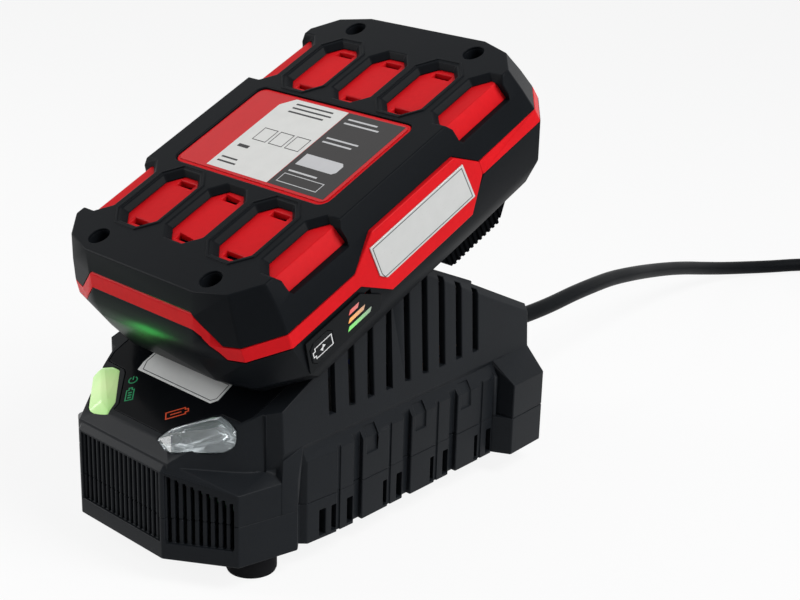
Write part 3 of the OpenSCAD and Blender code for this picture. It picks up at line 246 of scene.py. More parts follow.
def glossy(name, base, rough=0.12, coat=0.0):
    """Polished moulding with faint wiping marks."""
    paint = Paint(name)
    wipe = paint.noise(9 * MM, 4.0, where=paint.place(scale=(1, 0.25, 1)))
    fine = paint.noise(0.5 * MM, 2.0)
    paint.set(
        Base_Color=paint.blend(wipe, tint(base, 0.85), tint(base, 1.2)),
        Roughness=rough + wipe.power(3.0) * 0.25 + fine * 0.04,
        Coat_Weight=coat,
        Coat_Roughness=0.08,
        Specular_IOR_Level=0.04,
    )
    return paint.bump(wipe, 0.01 * MM, 0.3).material


def printed(name, base, rough=0.35, metallic=0.0):
    """Printed film with a fine screen and faint mottling."""
    paint = Paint(name)
    mottle = paint.noise(4 * MM, 3.0)
    screen = paint.noise(0.25 * MM, 1.0)
    paint.set(
        Base_Color=paint.blend(mottle, tint(base, 0.94), tint(base, 1.04)),
        Roughness=rough + (screen - 0.5) * 0.1,
        Metallic=metallic,
        Specular_IOR_Level=0.2,
    )
    return paint.bump(screen, 0.008 * MM, 0.3).material


def metal(name, base, rough):
    """Bare or plated metal with fine marks and uneven polish."""
    paint = Paint(name)
    fine = paint.noise(0.3 * MM, 3.0)
    cloud = paint.noise(6 * MM, 2.0)
    paint.set(
        Base_Color=paint.blend(cloud, tint(base, 0.82), tint(base, 1.08)),
        Roughness=rough + (fine - 0.5) * 0.2,
        Metallic=1.0,
    )
    return paint.bump(fine, 0.01 * MM, 0.4).material


def rubbery(name, base, rough=0.75):
    """Soft matt rubber with a dusty bloom."""
    paint = Paint(name)
    bloom = paint.noise(5 * MM, 4.0)
    pores = paint.noise(0.3 * MM, 2.0)
    paint.set(
        Base_Color=paint.blend(bloom, tint(base, 0.8), tint(base, 1.7)),
        Roughness=rough + (bloom - 0.5) * 0.15,
        Specular_IOR_Level=0.03,
    )
    return paint.bump(pores, 0.03 * MM, 0.5).material


GLOW_SPOT = (-20, -73, -36)  # middle of the glow in the lit lens, in dock's frame
GLOW_SCALE = 70  # the glow runs out 1/70 m from its middle


def lit_lens(name, base):
    """Diffusing lens with a lamp behind it: brightest in the middle, tinted at the rim."""
    paint = Paint(name)
    cloud = paint.noise(3 * MM, 2.0)
    spot = paint.node(
        "ShaderNodeTexGradient", {"gradient_type": "SPHERICAL"},
        {"Vector": paint.place(scale=(GLOW_SCALE,) * 3, move=-GLOW_SCALE * dock(*GLOW_SPOT))},
    )
    glow = spot.power(0.7)
    paint.set(
        Base_Color=paint.blend(cloud, tint(base, 0.9), base),
        Roughness=0.16 + cloud * 0.08,
        Emission_Color=paint.blend(glow, (0.14, 0.6, 0.1), (0.74, 0.9, 0.46)),
        Emission_Strength=0.56,
        Subsurface_Weight=0.15,
        Subsurface_Radius=(0.002, 0.004, 0.002),
    )
    return paint.material


def clear_lens(name):
    """Frosted clear lens over a dark socket."""
    paint = Paint(name)
    cloud = paint.noise(4 * MM, 3.0)
    paint.set(
        Base_Color=paint.blend(cloud, (0.66, 0.72, 0.74), (0.74, 0.8, 0.82)),
        Roughness=0.02 + cloud * 0.03,
        Transmission_Weight=0.85,
        IOR=1.49,
    )
    return paint.bump(cloud, 0.02 * MM, 0.15).material


def glowing(name, base, strength):
    """A small lit window."""
    paint = Paint(name)
    cloud = paint.noise(1.5 * MM, 1.0)
    paint.set(
        Base_Color=paint.blend(cloud, tint(base, 0.85), base),
        Roughness=0.25 + cloud * 0.1,
        Emission_Color=(*base, 1),
        Emission_Strength=strength,
    )
    return paint.material


BARS_HALF = 4.0  # half the height of the three light bars, in mm
BAR_TONES = ((0, (0.16, 0.62, 0.12)), (0.36, (0.86, 0.34, 0.06)), (0.68, (0.72, 0.07, 0.05)))
FADE_START, FADE_LENGTH = 1.0, 10.0  # where along them their light fades, in mm


def level_glow(name):
    """Three lit bars, red over orange over green, each fading towards its far end."""
    paint = Paint(name)
    where = paint.node("ShaderNodeTexCoord", out="Object")

    def along(axis):
        way = LEVEL.to_3x3().col[axis].normalized()
        reach = paint.node("ShaderNodeVectorMath", {"operation": "DOT_PRODUCT"},
                           {0: where, 1: way}, "Value")
        return (reach - way.dot(LEVEL.translation)) / MM

    height = (along(1) + BARS_HALF) / (2 * BARS_HALF)
    hue = paint.node("ShaderNodeValToRGB", inputs={"Fac": height})
    ramp = hue.socket.node.color_ramp
    ramp.interpolation = "CONSTANT"
    ramp.elements.new(0.5)
    for element, (start, tone) in zip(ramp.elements, BAR_TONES):
        element.position = start
        element.color = (*tone, 1)
    fade = ((along(0) - FADE_START) / FADE_LENGTH).most(0.0).least(1.0)
    tone = paint.blend(fade, hue, (0.2, 0.2, 0.2))
    paint.set(
        Base_Color=tone,
        Roughness=0.25 + paint.noise(1.5 * MM, 1.0) * 0.1,
        Emission_Color=tone,
        Emission_Strength=0.45,
    )
    return paint.material


def sheath(name, base):
    """Cord sheath: soft PVC, finely grained and dusty."""
    paint = Paint(name)
    dust = paint.noise(11 * MM, 4.0)
    fine = paint.noise(0.4 * MM, 2.0)
    paint.set(
        Base_Color=paint.blend(dust.power(3.0), base, tint(base, 2.2)),
        Roughness=0.42 + (dust - 0.5) * 0.2,
        Specular_IOR_Level=0.03,
    )
    return paint.bump(fine, 0.02 * MM, 0.4).material


# ---- mesh helpers ---------------------------------------------------------------------
WELD = 0.004 * MM
FLAT = 0.2  # degrees between faces that count as one flat
SHARP = 22  # degrees between faces whose edge is rounded
CREASE = 38  # degrees between faces whose edge stays a crease in the shading
NARROW = 20  # degrees between two edges of a notch that is too narrow for rounds
LEAST_ROUND = 0.2  # share of the width below which an edge stays as it is
CORNER_SHARE = 0.45  # share of a corner's reach that one round may take
PAIR_GAP = 2.1  # widths of face between two rounds that face each other
LONE_GAP = 1.15  # widths of face between a round and a plain edge
SPECK = 0.02 * MM * MM  # area of a triangle that is too small to look at
PROBES = ((0.33, 0.33), (0.5, 0.25), (0.25, 0.5), (0.25, 0.25), (0.6, 0.2), (0.2, 0.6),
          (0.2, 0.2))
STRAY_SHARE, STRAY_SLACK = 0.6, 0.03 * MM  # a round may leave the surface by this much
EASE_REACH = 1.6  # widths round a stray corner in which rounds are halved
EASE_PASSES = 6


def new_object(name, data):
    made = bpy.data.objects.new(name, data)
    bpy.context.scene.collection.objects.link(made)
    return made


def settled(piece):
    """Turns a piece and its modifiers into a plain mesh."""
    graph = bpy.context.evaluated_depsgraph_get()
    shape = piece.evaluated_get(graph)
    mesh = bpy.data.meshes.new_from_object(shape, preserve_all_data_layers=True,
                                           depsgraph=graph)
    piece.modifiers.clear()
    piece.data = mesh
    return piece


def merged(node):
    """A copy of a node's mesh with its triangles joined and its flats dissolved."""
    mesh = NODES[node].data.copy()
    mesh.materials.clear()
    bm = bmesh.new()
    bm.from_mesh(mesh)
    bmesh.ops.remove_doubles(bm, verts=bm.verts, dist=WELD)
    bmesh.ops.dissolve_limit(bm, angle_limit=math.radians(FLAT), verts=bm.verts,
                             edges=bm.edges)
    bmesh.ops.dissolve_degenerate(bm, edges=bm.edges, dist=WELD)
    bm.to_mesh(mesh)
    bm.free()
    return mesh


def gap_between(one, other):
    """Shortest distance between two edges, taken from their ends."""
    least = math.inf
    for near, far in ((one, other), (other, one)):
        start, end = (v.co for v in far.verts)
        for vert in near.verts:
            share = intersect_point_line(vert.co, start, end)[1]
            spot = start.lerp(end, min(max(share, 0.0), 1.0))
            least = min(least, (vert.co - spot).length)
    return least


def corner_room(loop, sharp, width):
    """The share of the width that a face's corner leaves to the rounds beside it."""
    pair = (loop.link_loop_prev.edge, loop.edge)
    arms = [e.other_vert(loop.vert).co - loop.vert.co for e in pair]
    angle = arms[0].angle(arms[1], 0)
    if pair[0] in sharp and pair[1] in sharp:
        if not loop.is_convex:
            return 1.0 if angle > math.radians(NARROW) else 0.0
        reach = min(arm.length for arm in arms) * math.tan(angle / 2)
    else:
        reach = arms[1 if pair[0] in sharp else 0].length * math.sin(angle)
    return CORNER_SHARE * reach / width


def room_for_rounds(bm, width):
    """The largest round, as a share of the width, that fits each sharp edge."""
    room = {
        e: 1.0 for e in bm.edges
        if e.is_manifold and e.calc_face_angle(0) > math.radians(SHARP)
    }
    for face in bm.faces:
        for loop in face.loops:
            pair = [e for e in (loop.link_loop_prev.edge, loop.edge) if e in room]
            share = corner_room(loop, room, width) if pair else 1.0
            for edge in pair:
                room[edge] = min(room[edge], share)
        for one in (e for e in face.edges if e in room):
            for other in face.edges:
                if not set(one.verts) & set(other.verts):
                    spread = (PAIR_GAP if other in room else LONE_GAP) * width
                    room[one] = min(room[one], gap_between(one, other) / spread)
    return room


def strays(mesh, surface, limit):
    """Corners of the triangles that leave the first surface by more than a limit."""
    mesh.calc_loop_triangles()
    spots = []
    for triangle in mesh.loop_triangles:
        a, b, c = (mesh.vertices[i].co for i in triangle.vertices)
        probes = (a + (b - a) * s + (c - a) * t for s, t in PROBES)
        if triangle.area > SPECK and any(
            surface.find_nearest(probe)[3] > limit for probe in probes
        ):
            spots += [a.copy(), b.copy(), c.copy()]
    return spots


def ease_rounds(bm, layer, spots, reach):
    """Halves the rounds on the edges next to these spots."""
    places = KDTree(len(bm.verts))
    for vert in bm.verts:
        places.insert(vert.co, vert.index)
    places.balance()
    bm.verts.ensure_lookup_table()
    near = set()
    for spot in spots:
        near.update(hit[1] for hit in places.find_range(spot, reach) or [places.find(spot)])
    for edge in {e for i in near for e in bm.verts[i].link_edges}:
        edge[layer] = edge[layer] / 2 if edge[layer] > 2 * LEAST_ROUND else 0.0


def rounded(piece, width, segments):
    """Rounds a piece's sharp edges as far as each has room, with even shading."""
    bm = bmesh.new()
    bm.from_mesh(piece.data)
    surface = BVHTree.FromBMesh(bm)
    layer = bm.edges.layers.float.new("bevel_weight_edge")
    for edge, share in room_for_rounds(bm, width).items():
        edge[layer] = share if share > LEAST_ROUND else 0.0
    for _ in range(EASE_PASSES):
        plain = bpy.data.meshes.new(piece.name)
        bm.to_mesh(plain)
        piece.data = plain
        bevel = piece.modifiers.new("Rounded edges", "BEVEL")
        bevel.width = width
        bevel.segments = segments
        bevel.limit_method = "WEIGHT"
        bevel.use_clamp_overlap = False
        settled(piece)
        spots = strays(piece.data, surface, STRAY_SHARE * width + STRAY_SLACK)
        if not spots:
            break
        ease_rounds(bm, layer, spots, EASE_REACH * width)
    bm.free()
    piece.data.shade_smooth()
    piece.data.set_sharp_from_angle(angle=math.radians(CREASE))
    weighted = piece.modifiers.new("Even shading", "WEIGHTED_NORMAL")
    weighted.keep_sharp = True
    return settled(piece)


def finished(piece, material, body, slot, *nodes):
    """Gives a piece its finish and its body, and hides the nodes that it stands for."""
    piece.data.materials.clear()
    piece.data.materials.append(material)
    if nodes:
        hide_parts(*nodes)
    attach(piece, body)
    return piece


def dressed(node, material, body, edge, segments=2):
    """Stands for a node with the same shape and softly rounded edges."""
    piece = rounded(new_object(node + "_dressed", merged(node)), edge, segments)
    return finished(piece, material, body, SLOTS[node], node)


def finish_nodes(table):
    """Gives CAD nodes that stay as they are their finishes."""
    for material, names in table:
        for name in names:
            node = NODES[name]
            if not node.material_slots:
                node.data.materials.append(material)
            for held in node.material_slots:
                held.material = material


LEAST_MITRE = 0.2  # keeps the corner of an inset outline from running far in


def inset(outline, width):
    """An outline drawn inwards by a width, corner by corner."""
    made = []
    for i, here in enumerate(outline):
        here = Vector(here)
        before = (here - Vector(outline[i - 1])).normalized()
        after = (Vector(outline[(i + 1) % len(outline)]) - here).normalized()
        inward = Vector((-before.y - after.y, before.x + after.x))
        made.append(here + inward * (width / max(LEAST_MITRE, 1 + before.dot(after))))
    return made


def marks(name, shapes, low, high, place, material, body, slot):
    """Flat marks over anticlockwise outlines in mm: filled, or a line of some width."""
    bm = bmesh.new()
    for outline, line in shapes:
        rings = [outline] if not line else [outline, inset(outline, line)]
        verts = [[bm.verts.new(Vector((*p, low)) * MM) for p in ring] for ring in rings]
        if line:
            outer, inner = verts
            base = [
                bm.faces.new((outer[i - 1], outer[i], inner[i], inner[i - 1]))
                for i in range(len(outline))
            ]
        else:
            base = [bm.faces.new(verts[0])]
        lifted = bmesh.ops.extrude_face_region(bm, geom=base, use_keep_orig=True)
        top = [v for v in lifted["geom"] if isinstance(v, bmesh.types.BMVert)]
        bmesh.ops.translate(bm, verts=top, vec=(0, 0, (high - low) * MM))
    bmesh.ops.recalc_face_normals(bm, faces=bm.faces)
    bmesh.ops.transform(bm, matrix=place, verts=bm.verts)
    mesh = bpy.data.meshes.new(name)
    bm.to_mesh(mesh)
    bm.free()
    return finished(new_object(name, mesh), material, body, slot)


LATHE_SIDES = 36
LOBES = 6


def lathe(name, profile, ring_shaped=False):
    """A turned shape through rows of radius, height and any depth of its lobes, in mm."""
    bm = bmesh.new()
    rings = []
    for radius, height, *lobe in profile:
        ring = []
        for k in range(LATHE_SIDES):
            a = 2 * math.pi * k / LATHE_SIDES
            r = radius * (1 + sum(lobe) * math.cos(LOBES * a))
            ring.append(bm.verts.new(Vector((r * math.cos(a), r * math.sin(a), height)) * MM))
        rings.append(ring)
    if ring_shaped:
        rings.append(rings[0])
    else:
        bm.faces.new(reversed(rings[0]))
        bm.faces.new(rings[-1])
    for lower, upper in zip(rings, rings[1:]):
        for k in range(LATHE_SIDES):
            n = (k + 1) % LATHE_SIDES
            bm.faces.new((lower[k], lower[n], upper[n], upper[k]))
    mesh = bpy.data.meshes.new(name)
    bm.to_mesh(mesh)
    bm.free()
    return new_object(name, mesh)


# ---- geometry node trees --------------------------------------------------------------
class Tree:
    """A geometry node tree with named inputs."""

    def __init__(self, name, inputs):
        self.group = bpy.data.node_groups.new(name, "GeometryNodeTree")
        new = self.group.interface.new_socket
        new("Geometry", in_out="OUTPUT", socket_type="NodeSocketGeometry")
        for label, kind in inputs:
            new(label, in_out="INPUT", socket_type="NodeSocket" + kind)
        self.source = self.group.nodes.new("NodeGroupInput")

    def __getitem__(self, label):
        return self.source.outputs[label]

    def add(self, kind, settings=None, inputs=None, out=0):
        made = self.group.nodes.new(kind)
        for key, value in (settings or {}).items():
            setattr(made, key, value)
        for key, value in (inputs or {}).items():
            if isinstance(value, bpy.types.NodeSocket):
                self.group.links.new(value, made.inputs[key])
            else:
                made.inputs[key].default_value = value
        return made.outputs[out]

    def close(self, instances, material):
        """Ends the tree in real meshes with a material."""
        real = self.add("GeometryNodeRealizeInstances", inputs={"Geometry": instances})
        painted = self.add("GeometryNodeSetMaterial",
                           inputs={"Geometry": real, "Material": material})
        out = self.group.nodes.new("NodeGroupOutput")
        self.group.links.new(painted, out.inputs["Geometry"])
        return self

    def grow(self, piece, values):
        """Runs the tree on a piece with these inputs and keeps the plain mesh."""
        modifier = piece.modifiers.new(self.group.name, "NODES")
        modifier.node_group = self.group
        for item in self.group.interface.items_tree:
            if item.in_out == "INPUT" and item.name in values:
                modifier[item.identifier] = values[item.name]
        return settled(piece)


def row_tree(material):
    """A row of bars at a step, each up to a ragged share shorter than the full size."""
    tree = Tree("Row of bars", [
        ("Count", "Int"), ("Step", "Vector"), ("Size", "Vector"),
        ("Ragged", "Float"), ("Seed", "Int"),
    ])
    line = tree.add("GeometryNodeMeshLine", {"mode": "OFFSET"},
                    {"Count": tree["Count"], "Offset": tree["Step"]})
    bar = tree.add("GeometryNodeMeshCube", inputs={"Size": tree["Size"]})
    half = tree.add("ShaderNodeVectorMath", {"operation": "SCALE"},
                    {0: tree["Size"], "Scale": 0.5})
    bar = tree.add("GeometryNodeTransform", inputs={"Geometry": bar, "Translation": half})
    least = tree.add("ShaderNodeMath", {"operation": "SUBTRACT"},
                     {0: 1.0, 1: tree["Ragged"]})
    share = tree.add("FunctionNodeRandomValue", {"data_type": "FLOAT"},
                     {2: least, 3: 1.0, "Seed": tree["Seed"]}, 1)
    scale = tree.add("ShaderNodeCombineXYZ", inputs={"X": share, "Y": 1.0, "Z": 1.0})
    bars = tree.add("GeometryNodeInstanceOnPoints",
                    inputs={"Points": line, "Instance": bar, "Scale": scale})
    return tree.close(bars, material)


def bar_row(name, material, place, count, step, size, body, slot, ragged, seed):
    """One grown row of bars; step and size are in mm, in the frame that place gives."""
    piece = row_tree(material).grow(
        new_object(name, bpy.data.meshes.new(name)),
        {"Count": count, "Step": Vector(step) * MM, "Size": Vector(size) * MM,
         "Ragged": ragged, "Seed": seed},
    )
    piece.data.transform(place)
    return finished(piece, material, body, slot)


def repeated(name, pattern, spots, place, material, body, slot, *nodes):
    """A pattern set by a tree on each spot, in mm, standing for any node of like pieces."""
    tree = Tree("Pieces on spots", [("Spots", "Geometry"), ("Pattern", "Object")])
    shape = tree.add("GeometryNodeObjectInfo", inputs={"Object": tree["Pattern"]},
                     out="Geometry")
    copies = tree.add("GeometryNodeInstanceOnPoints",
                      inputs={"Points": tree["Spots"], "Instance": shape})
    mesh = bpy.data.meshes.new(name)
    mesh.from_pydata([Vector(spot) * MM for spot in spots], [], [])
    piece = tree.close(copies, material).grow(new_object(name, mesh), {"Pattern": pattern})
    bpy.data.objects.remove(pattern)
    piece.data.transform(place)
    piece.data.shade_smooth()
    piece.data.set_sharp_from_angle(angle=math.radians(CREASE))
    return finished(piece, material, body, slot, *nodes)


# ---- cord -----------------------------------------------------------------------------
ROUTE = [
    (0, 79.2, 31), (0, 90, 31), (0, 100, 31), (-1, 112, 31), (-3, 126, 31),
    (-6, 141, 30), (-10, 157, 28), (-14, 174, 25), (-19, 192, 21), (-23, 210, 17),
    (-26, 227, 13), (-28, 243, 9), (-28, 257, 6), (-26, 270, 4), (-21, 283, 3),
    (-14, 295, 3), (-5, 306, 3), (5, 316, 3), (15, 325, 4), (24, 331, 6), (31, 334, 7),
]
CORD_EXIT = (0, 66.2, 31)
CORD_STEPS = 4  # points on the cord for each one of its route
COIL = {"centre": (50, 300), "radius": 31.0, "bundle": 7.2, "height": 10.7}
COIL_START = 110.0  # degrees round the coil where the cord comes in
COIL_SLOT = -25.0  # degrees round the bundle where the first turn lies
COIL_SLOTS = 8
COIL_TURNS = 7 + COIL_START / 360
COIL_STEPS = 360
PLUG_ENTRY = (86.0, 279.0, 7.0)
PLUG_SAG = 0.4


def smooth_through(points, steps):
    """Points along a smooth curve through the given ones."""
    line = []
    last = len(points) - 1
    for i in range(last):
        p0, p1 = points[max(i - 1, 0)], points[i]
        p2, p3 = points[i + 1], points[min(i + 2, last)]
        for k in range(steps):
            t = k / steps
            line.append(0.5 * (
                2 * p1 + (p2 - p0) * t + (2 * p0 - 5 * p1 + 4 * p2 - p3) * t * t
                + (3 * p1 - p0 - 3 * p2 + p3) * t * t * t
            ))
    line.append(points[-1])
    return line


def coil_point(turns):
    """A point of the coil, clockwise, each turn one slot further round the bundle."""
    a = math.radians(COIL_START - 360 * turns)
    slot = math.radians(COIL_SLOT + 360 / COIL_SLOTS * turns)
    r = COIL["radius"] + COIL["bundle"] * math.cos(slot)
    z = COIL["height"] + COIL["bundle"] * math.sin(slot)
    cx, cy = COIL["centre"]
    return Vector((cx + r * math.cos(a), cy + r * math.sin(a), z))


def line_length(line):
    return sum((b - a).length for a, b in zip(line, line[1:]))


def cord_line():
    """The cord's middle line in metres: its lead, its coil and the end in the plug."""
    lead = [Vector(CORD_EXIT)] + [Vector(p) for p in ROUTE] + [coil_point(0)]
    first = smooth_through(lead, CORD_STEPS)
    wound = [coil_point(k * COIL_TURNS / COIL_STEPS) for k in range(1, COIL_STEPS + 1)]
    end, entry = wound[-1], Vector(PLUG_ENTRY)
    middle = end.lerp(entry, 0.5) - Vector((0, 0, PLUG_SAG))
    tail = smooth_through([end, middle, entry], CORD_STEPS)[1:]
    return [p * MM for p in first + wound + tail]


class CHARGER_OT_cord(bpy.types.Operator):
    """Lays the mains cord, its coil, tie and plug"""

    bl_idname = "charger.cord"
    bl_label = "Mains cord"

    def execute(self, context):
        line = cord_line()
        curve = bpy.data.curves.new("mains_cord", "CURVE")
        curve.dimensions = "3D"
        spline = curve.splines.new("POLY")
        spline.points.add(len(line) - 1)
        for point, place in zip(spline.points, line):
            point.co = (*place, 1)
        curve.bevel_depth = sizes().cord_width / 2
        curve.bevel_resolution = 4
        curve.use_fill_caps = True
        cord = new_object("mains_cord", curve)
        material = sheath("Cord sheath", colours().cord)
        curve.materials.append(material)
        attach(cord, "charger")
        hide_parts("power_cord", "cord_coil")
        round(line_length(line), 3)
        finish_nodes([
            (material, ["strain_relief", "plug_body", "cord_tie"]),
            (metal("Plug pins", (0.7, 0.7, 0.68), 0.22), ["plug_pins"]),
        ])
        return {"FINISHED"}


# ---- charger --------------------------------------------------------------------------
FOOT = [(2.2, 0.5), (3.0, 0), (6.0, 0), (6.55, 0.2), (6.8, 0.8), (6.8, 6.98)]
FOOT_SPOTS = [Vector(mount["pos_m"]) / MM for mount in RECORD["mounts"]]
PANEL_TOP = -37.1  # height of the display panel's face, in dock's frame
PLATE_TOP = PANEL_TOP + 0.2
LENS_SLANT = 47.6  # degrees between the lenses and the nose
INK_UNDER = 0.05  # how far ink and film reach into the face that carries them
INK_OVER = 0.04
LINE_OVER = 0.03


class CHARGER_OT_housing(bpy.types.Operator):
    """Rounds and finishes the lower and upper housing and sets the feet"""

    bl_idname = "charger.housing"
    bl_label = "Housing"

    def execute(self, context):
        black = moulded("Housing grain", colours().housing, 0.38, sheen=0.08)
        edge = sizes().housing_edge
        for node in ("lower_housing", "upper_housing"):
            dressed(node, black, "charger", edge)
        repeated("feet", lathe("foot_pattern", FOOT), FOOT_SPOTS, Matrix(),
                 rubbery("Foot rubber", (0.008, 0.008, 0.009)), "charger", "rubber",
                 "rubber_feet")
        return {"FINISHED"}


BATTERY_TIP = 0.8


def battery_outline(wide, tall):
    """A battery seen from the side, its terminal at the +x end."""
    a, b, neck = wide / 2, tall / 2, wide / 2 - BATTERY_TIP
    return [(-a, -b), (neck, -b), (neck, -b / 2), (a, -b / 2), (a, b / 2),
            (neck, b / 2), (neck, b), (-a, b)]


def block(x0, y0, x1, y1):
    return [(x0, y0), (x1, y0), (x1, y1), (x0, y1)]


def arc_band(radius, line, start, stop, steps=20):
    """Part of a ring, anticlockwise, as one outline."""
    turn = [math.radians(start + (stop - start) * k / steps) for k in range(steps + 1)]
    return [
        (r * math.cos(a), r * math.sin(a))
        for r, row in ((radius, turn), (radius - line, turn[::-1]))
        for a in row
    ]


def placed(shapes, centre, angle=0.0):
    """Outlines turned by an angle in degrees and moved to a centre."""
    turn = Matrix.Rotation(math.radians(angle), 2)
    return [
        ([turn @ Vector(p) + Vector(centre) for p in outline], line)
        for outline, line in shapes
    ]


POWER_SIGN = [(arc_band(1.4, 0.34, 120, 420), None), (block(-0.17, 0.1, 0.17, 1.5), None)]
CHARGED_SIGN = [(battery_outline(5.2, 2.5), 0.32)] + [
    (block(x, -0.55, x + 0.5, 0.55), None) for x in (-1.7, -0.7, 0.3)
]
EMPTY_SIGN = [(battery_outline(6.6, 2.8), 0.34), (block(-1.9, -0.17, 1.2, 0.17), None)]
PLATE_LINE = [(-15.2, -62), (14, -62), (15.3, -60.7), (14.6, -55.2), (-16.8, -55.2),
              (-16.8, -59.2)]


class CHARGER_OT_display(bpy.types.Operator):
    """Finishes the display nose: panel, plate, signs and lenses"""

    bl_idname = "charger.display"
    bl_label = "Display"

    def execute(self, context):
        edge = sizes().lens_edge
        # The plate's silver is made 1.6 times lighter. This is partly the plate's own pale
        # silver and partly painted light, which makes up for the shade of the pack above it.
        silver = printed("Plate film lightened as painted light", tint(colours().silver, 1.6), 0.3)
        dressed("display_panel", glossy("Display gloss", (0.004, 0.0048, 0.006)), "charger",
                0.15 * MM)
        dressed("display_plate", silver, "charger", 0.06 * MM)
        dressed("lens_left", lit_lens("Lit lens", colours().lit), "charger", edge)
        dressed("lens_right", clear_lens("Clear lens"), "charger", edge)
        low, high = PANEL_TOP - INK_UNDER, PANEL_TOP + INK_OVER
        ready = (placed(POWER_SIGN, (-14.7, -66.2), 40)
                 + placed(CHARGED_SIGN, (-11, -70.5), 180 - LENS_SLANT))
        marks("ready_signs", ready, low, high, DOCK,
              printed("Green ink", (0.01, 0.36, 0.13)), "charger", "panel_black")
        marks("empty_sign", placed(EMPTY_SIGN, (8.4, -69.4), LENS_SLANT), low, high, DOCK,
              printed("Orange ink", (0.85, 0.1, 0.03)), "charger", "panel_black")
        marks("plate_line", [(PLATE_LINE, 0.22)], PLATE_TOP - INK_UNDER,
              PLATE_TOP + LINE_OVER, DOCK, printed("Line ink", (0.05, 0.05, 0.055)),
              "charger", "silver_label")
        return {"FINISHED"}


class CHARGER_OT_inside(bpy.types.Operator):
    """Finishes the parts inside the charger and the pack"""

    bl_idname = "charger.inside"
    bl_label = "Inner parts"

    def execute(self, context):
        grey = moulded("Carrier moulding", (0.05, 0.05, 0.055), 0.55)
        steel = metal("Zinc steel", (0.5, 0.5, 0.52), 0.35)
        board = glossy("Board mask", (0.01, 0.09, 0.03), 0.3, 0.1)
        brass = metal("Contact brass", (0.72, 0.58, 0.3), 0.25)
        finish_nodes([
            (board, ["circuit_board", "indicator_board", "pack_board"]),
            (steel, ["housing_screws", "board_screws"]),
            (brass, ["contact_blades", "pack_terminals"]),
            (grey, ["contact_carrier", "cell_holder_left", "cell_holder_right", "latch"]),
            (metal("Strap nickel", (0.7, 0.69, 0.66), 0.25), ["cell_straps"]),
            (rubbery("Ferrite", (0.03, 0.03, 0.03), 0.6), ["transformer_core"]),
            (glossy("Winding tape", (0.6, 0.36, 0.05), 0.35, 0.1), ["transformer_winding"]),
            (glossy("Capacitor sleeve", (0.02, 0.03, 0.12), 0.3, 0.2), ["capacitors"]),
            (metal("Sink aluminium", (0.55, 0.55, 0.57), 0.4), ["heat_sink"]),
            (moulded("Epoxy", (0.015, 0.015, 0.015), 0.6), ["power_transistor"]),
            (glossy("Fuse ceramic", (0.7, 0.69, 0.64), 0.3, 0.1), ["fuse"]),
            (sheath("Lead insulation", (0.15, 0.06, 0.02)), ["mains_leads"]),
            (glowing("Lamp resin", (0.5, 0.9, 0.5), 0.4), ["indicator_leds"]),
            (glossy("Cell sleeve", (0.03, 0.12, 0.3), 0.3, 0.2),
             [f"cell_{i}" for i in range(1, 6)]),
        ])
        return {"FINISHED"}


# ---- battery pack ---------------------------------------------------------------------
SCREW = [(1.3, -15), (1.3, 0), (2.8, 0), (2.8, 1.25), (2.45, 1.6), (1.3, 1.6, 0.12),
         (1.15, 0.7, 0.12)]
SCREW_SPOTS = [(u, v, -7) for u in (23.6, -23.6) for v in (52.1, -51.7)]
SLEEVE = [(2.85, 0.02), (3.08, 0.02), (3.08, 6.4), (2.95, 6.4), (2.85, 6.2)]


class CHARGER_OT_pack(bpy.types.Operator):
    """Rounds and finishes the pack's shells and core and sets its screws"""

    bl_idname = "charger.pack"
    bl_label = "Battery pack"

    def execute(self, context):
        edge = sizes().pack_edge
        black = moulded("Pack grain", colours().pack, 0.36, 0.022 * MM, sheen=0.035)
        red = moulded("Core red", colours().red, 0.32, 0.012 * MM, 0.5 * MM, 0.05)
        for node, material in (("pack_top_shell", black), ("pack_bottom_shell", black),
                               ("pack_core", red)):
            dressed(node, material, "battery_pack", edge, 3)
        repeated("shell_screws", lathe("screw_pattern", SCREW), SCREW_SPOTS, DOCK,
                 metal("Dark steel", (0.1, 0.1, 0.1), 0.35), "battery_pack", "steel",
                 "pack_screws")
        repeated("screw_sleeves", lathe("sleeve_pattern", SLEEVE, True), SCREW_SPOTS,
                 DOCK, black, "battery_pack", "pack_black")
        return {"FINISHED"}


LABEL_TOP = -0.25  # height of the rating plate's face, in dock's frame
SIDE_TOP = 43.9  # the side plates' faces, from the pack's middle
BUTTON_TOP = 0.7  # height of the level button's face, in LEVEL's frame
FILM_UNDER = 0.02  # how far ink reaches into the film that carries it
WHITE_FIELD = [(-18.2, -15.8), (6.9, -15.8), (6.9, 17.2), (-14.5, 17.2), (-18.2, 13.6)]
DARK_FIELD = block(7.1, -15.8, 28.9, 17.2)
WHITE_BOXES = [(block(x, -2.2, x + 5.6, 3.4), 0.25) for x in (-13.5, -6.8, -0.1)]
WHITE_DASH = (block(-15.6, -6.2, -11.2, -5), None)
DARK_PLATE = ([(9, -6.6), (23, -6.6), (24, -5.6), (24, -2.8), (23, -1.8), (9, -1.8)], None)
DARK_BOX = (block(9, -14.2, 24.5, -10.6), 0.25)
ROW_TALL, ROW_THICK, ROW_RAGGED = 0.6, 0.05, 0.45
DARK_ROWS = (  # name, corner of the first bar, number of bars, width
    ("label_rows_dark_rear", (9.2, 12.6), 2, 15),
    ("label_rows_dark_middle", (9.2, 3.8), 2, 17),
    ("label_rows_dark_front", (9.2, -9.6), 1, 14),
)
WHITE_ROWS = (
    ("label_rows_white", (-12.6, 11.6), 3, 17.5),
    ("label_rows_white_front", (-16.4, -13.4), 2, 9),
)
SIDE_LINE = [(-16.6, -20.8), (19.4, -20.8), (18.7, -10.9), (-17.2, -10.9), (-17.2, -19.2)]
BOLT = [(-0.25, -1.1), (0.15, -0.15), (1.05, 0.1), (0.2, 1.05), (-0.15, 0.2), (-1.0, -0.05)]
BUTTON_SIGN = [([(-x, y) for x, y in battery_outline(7.2, 3.9)][::-1], 0.3), (BOLT, None)]


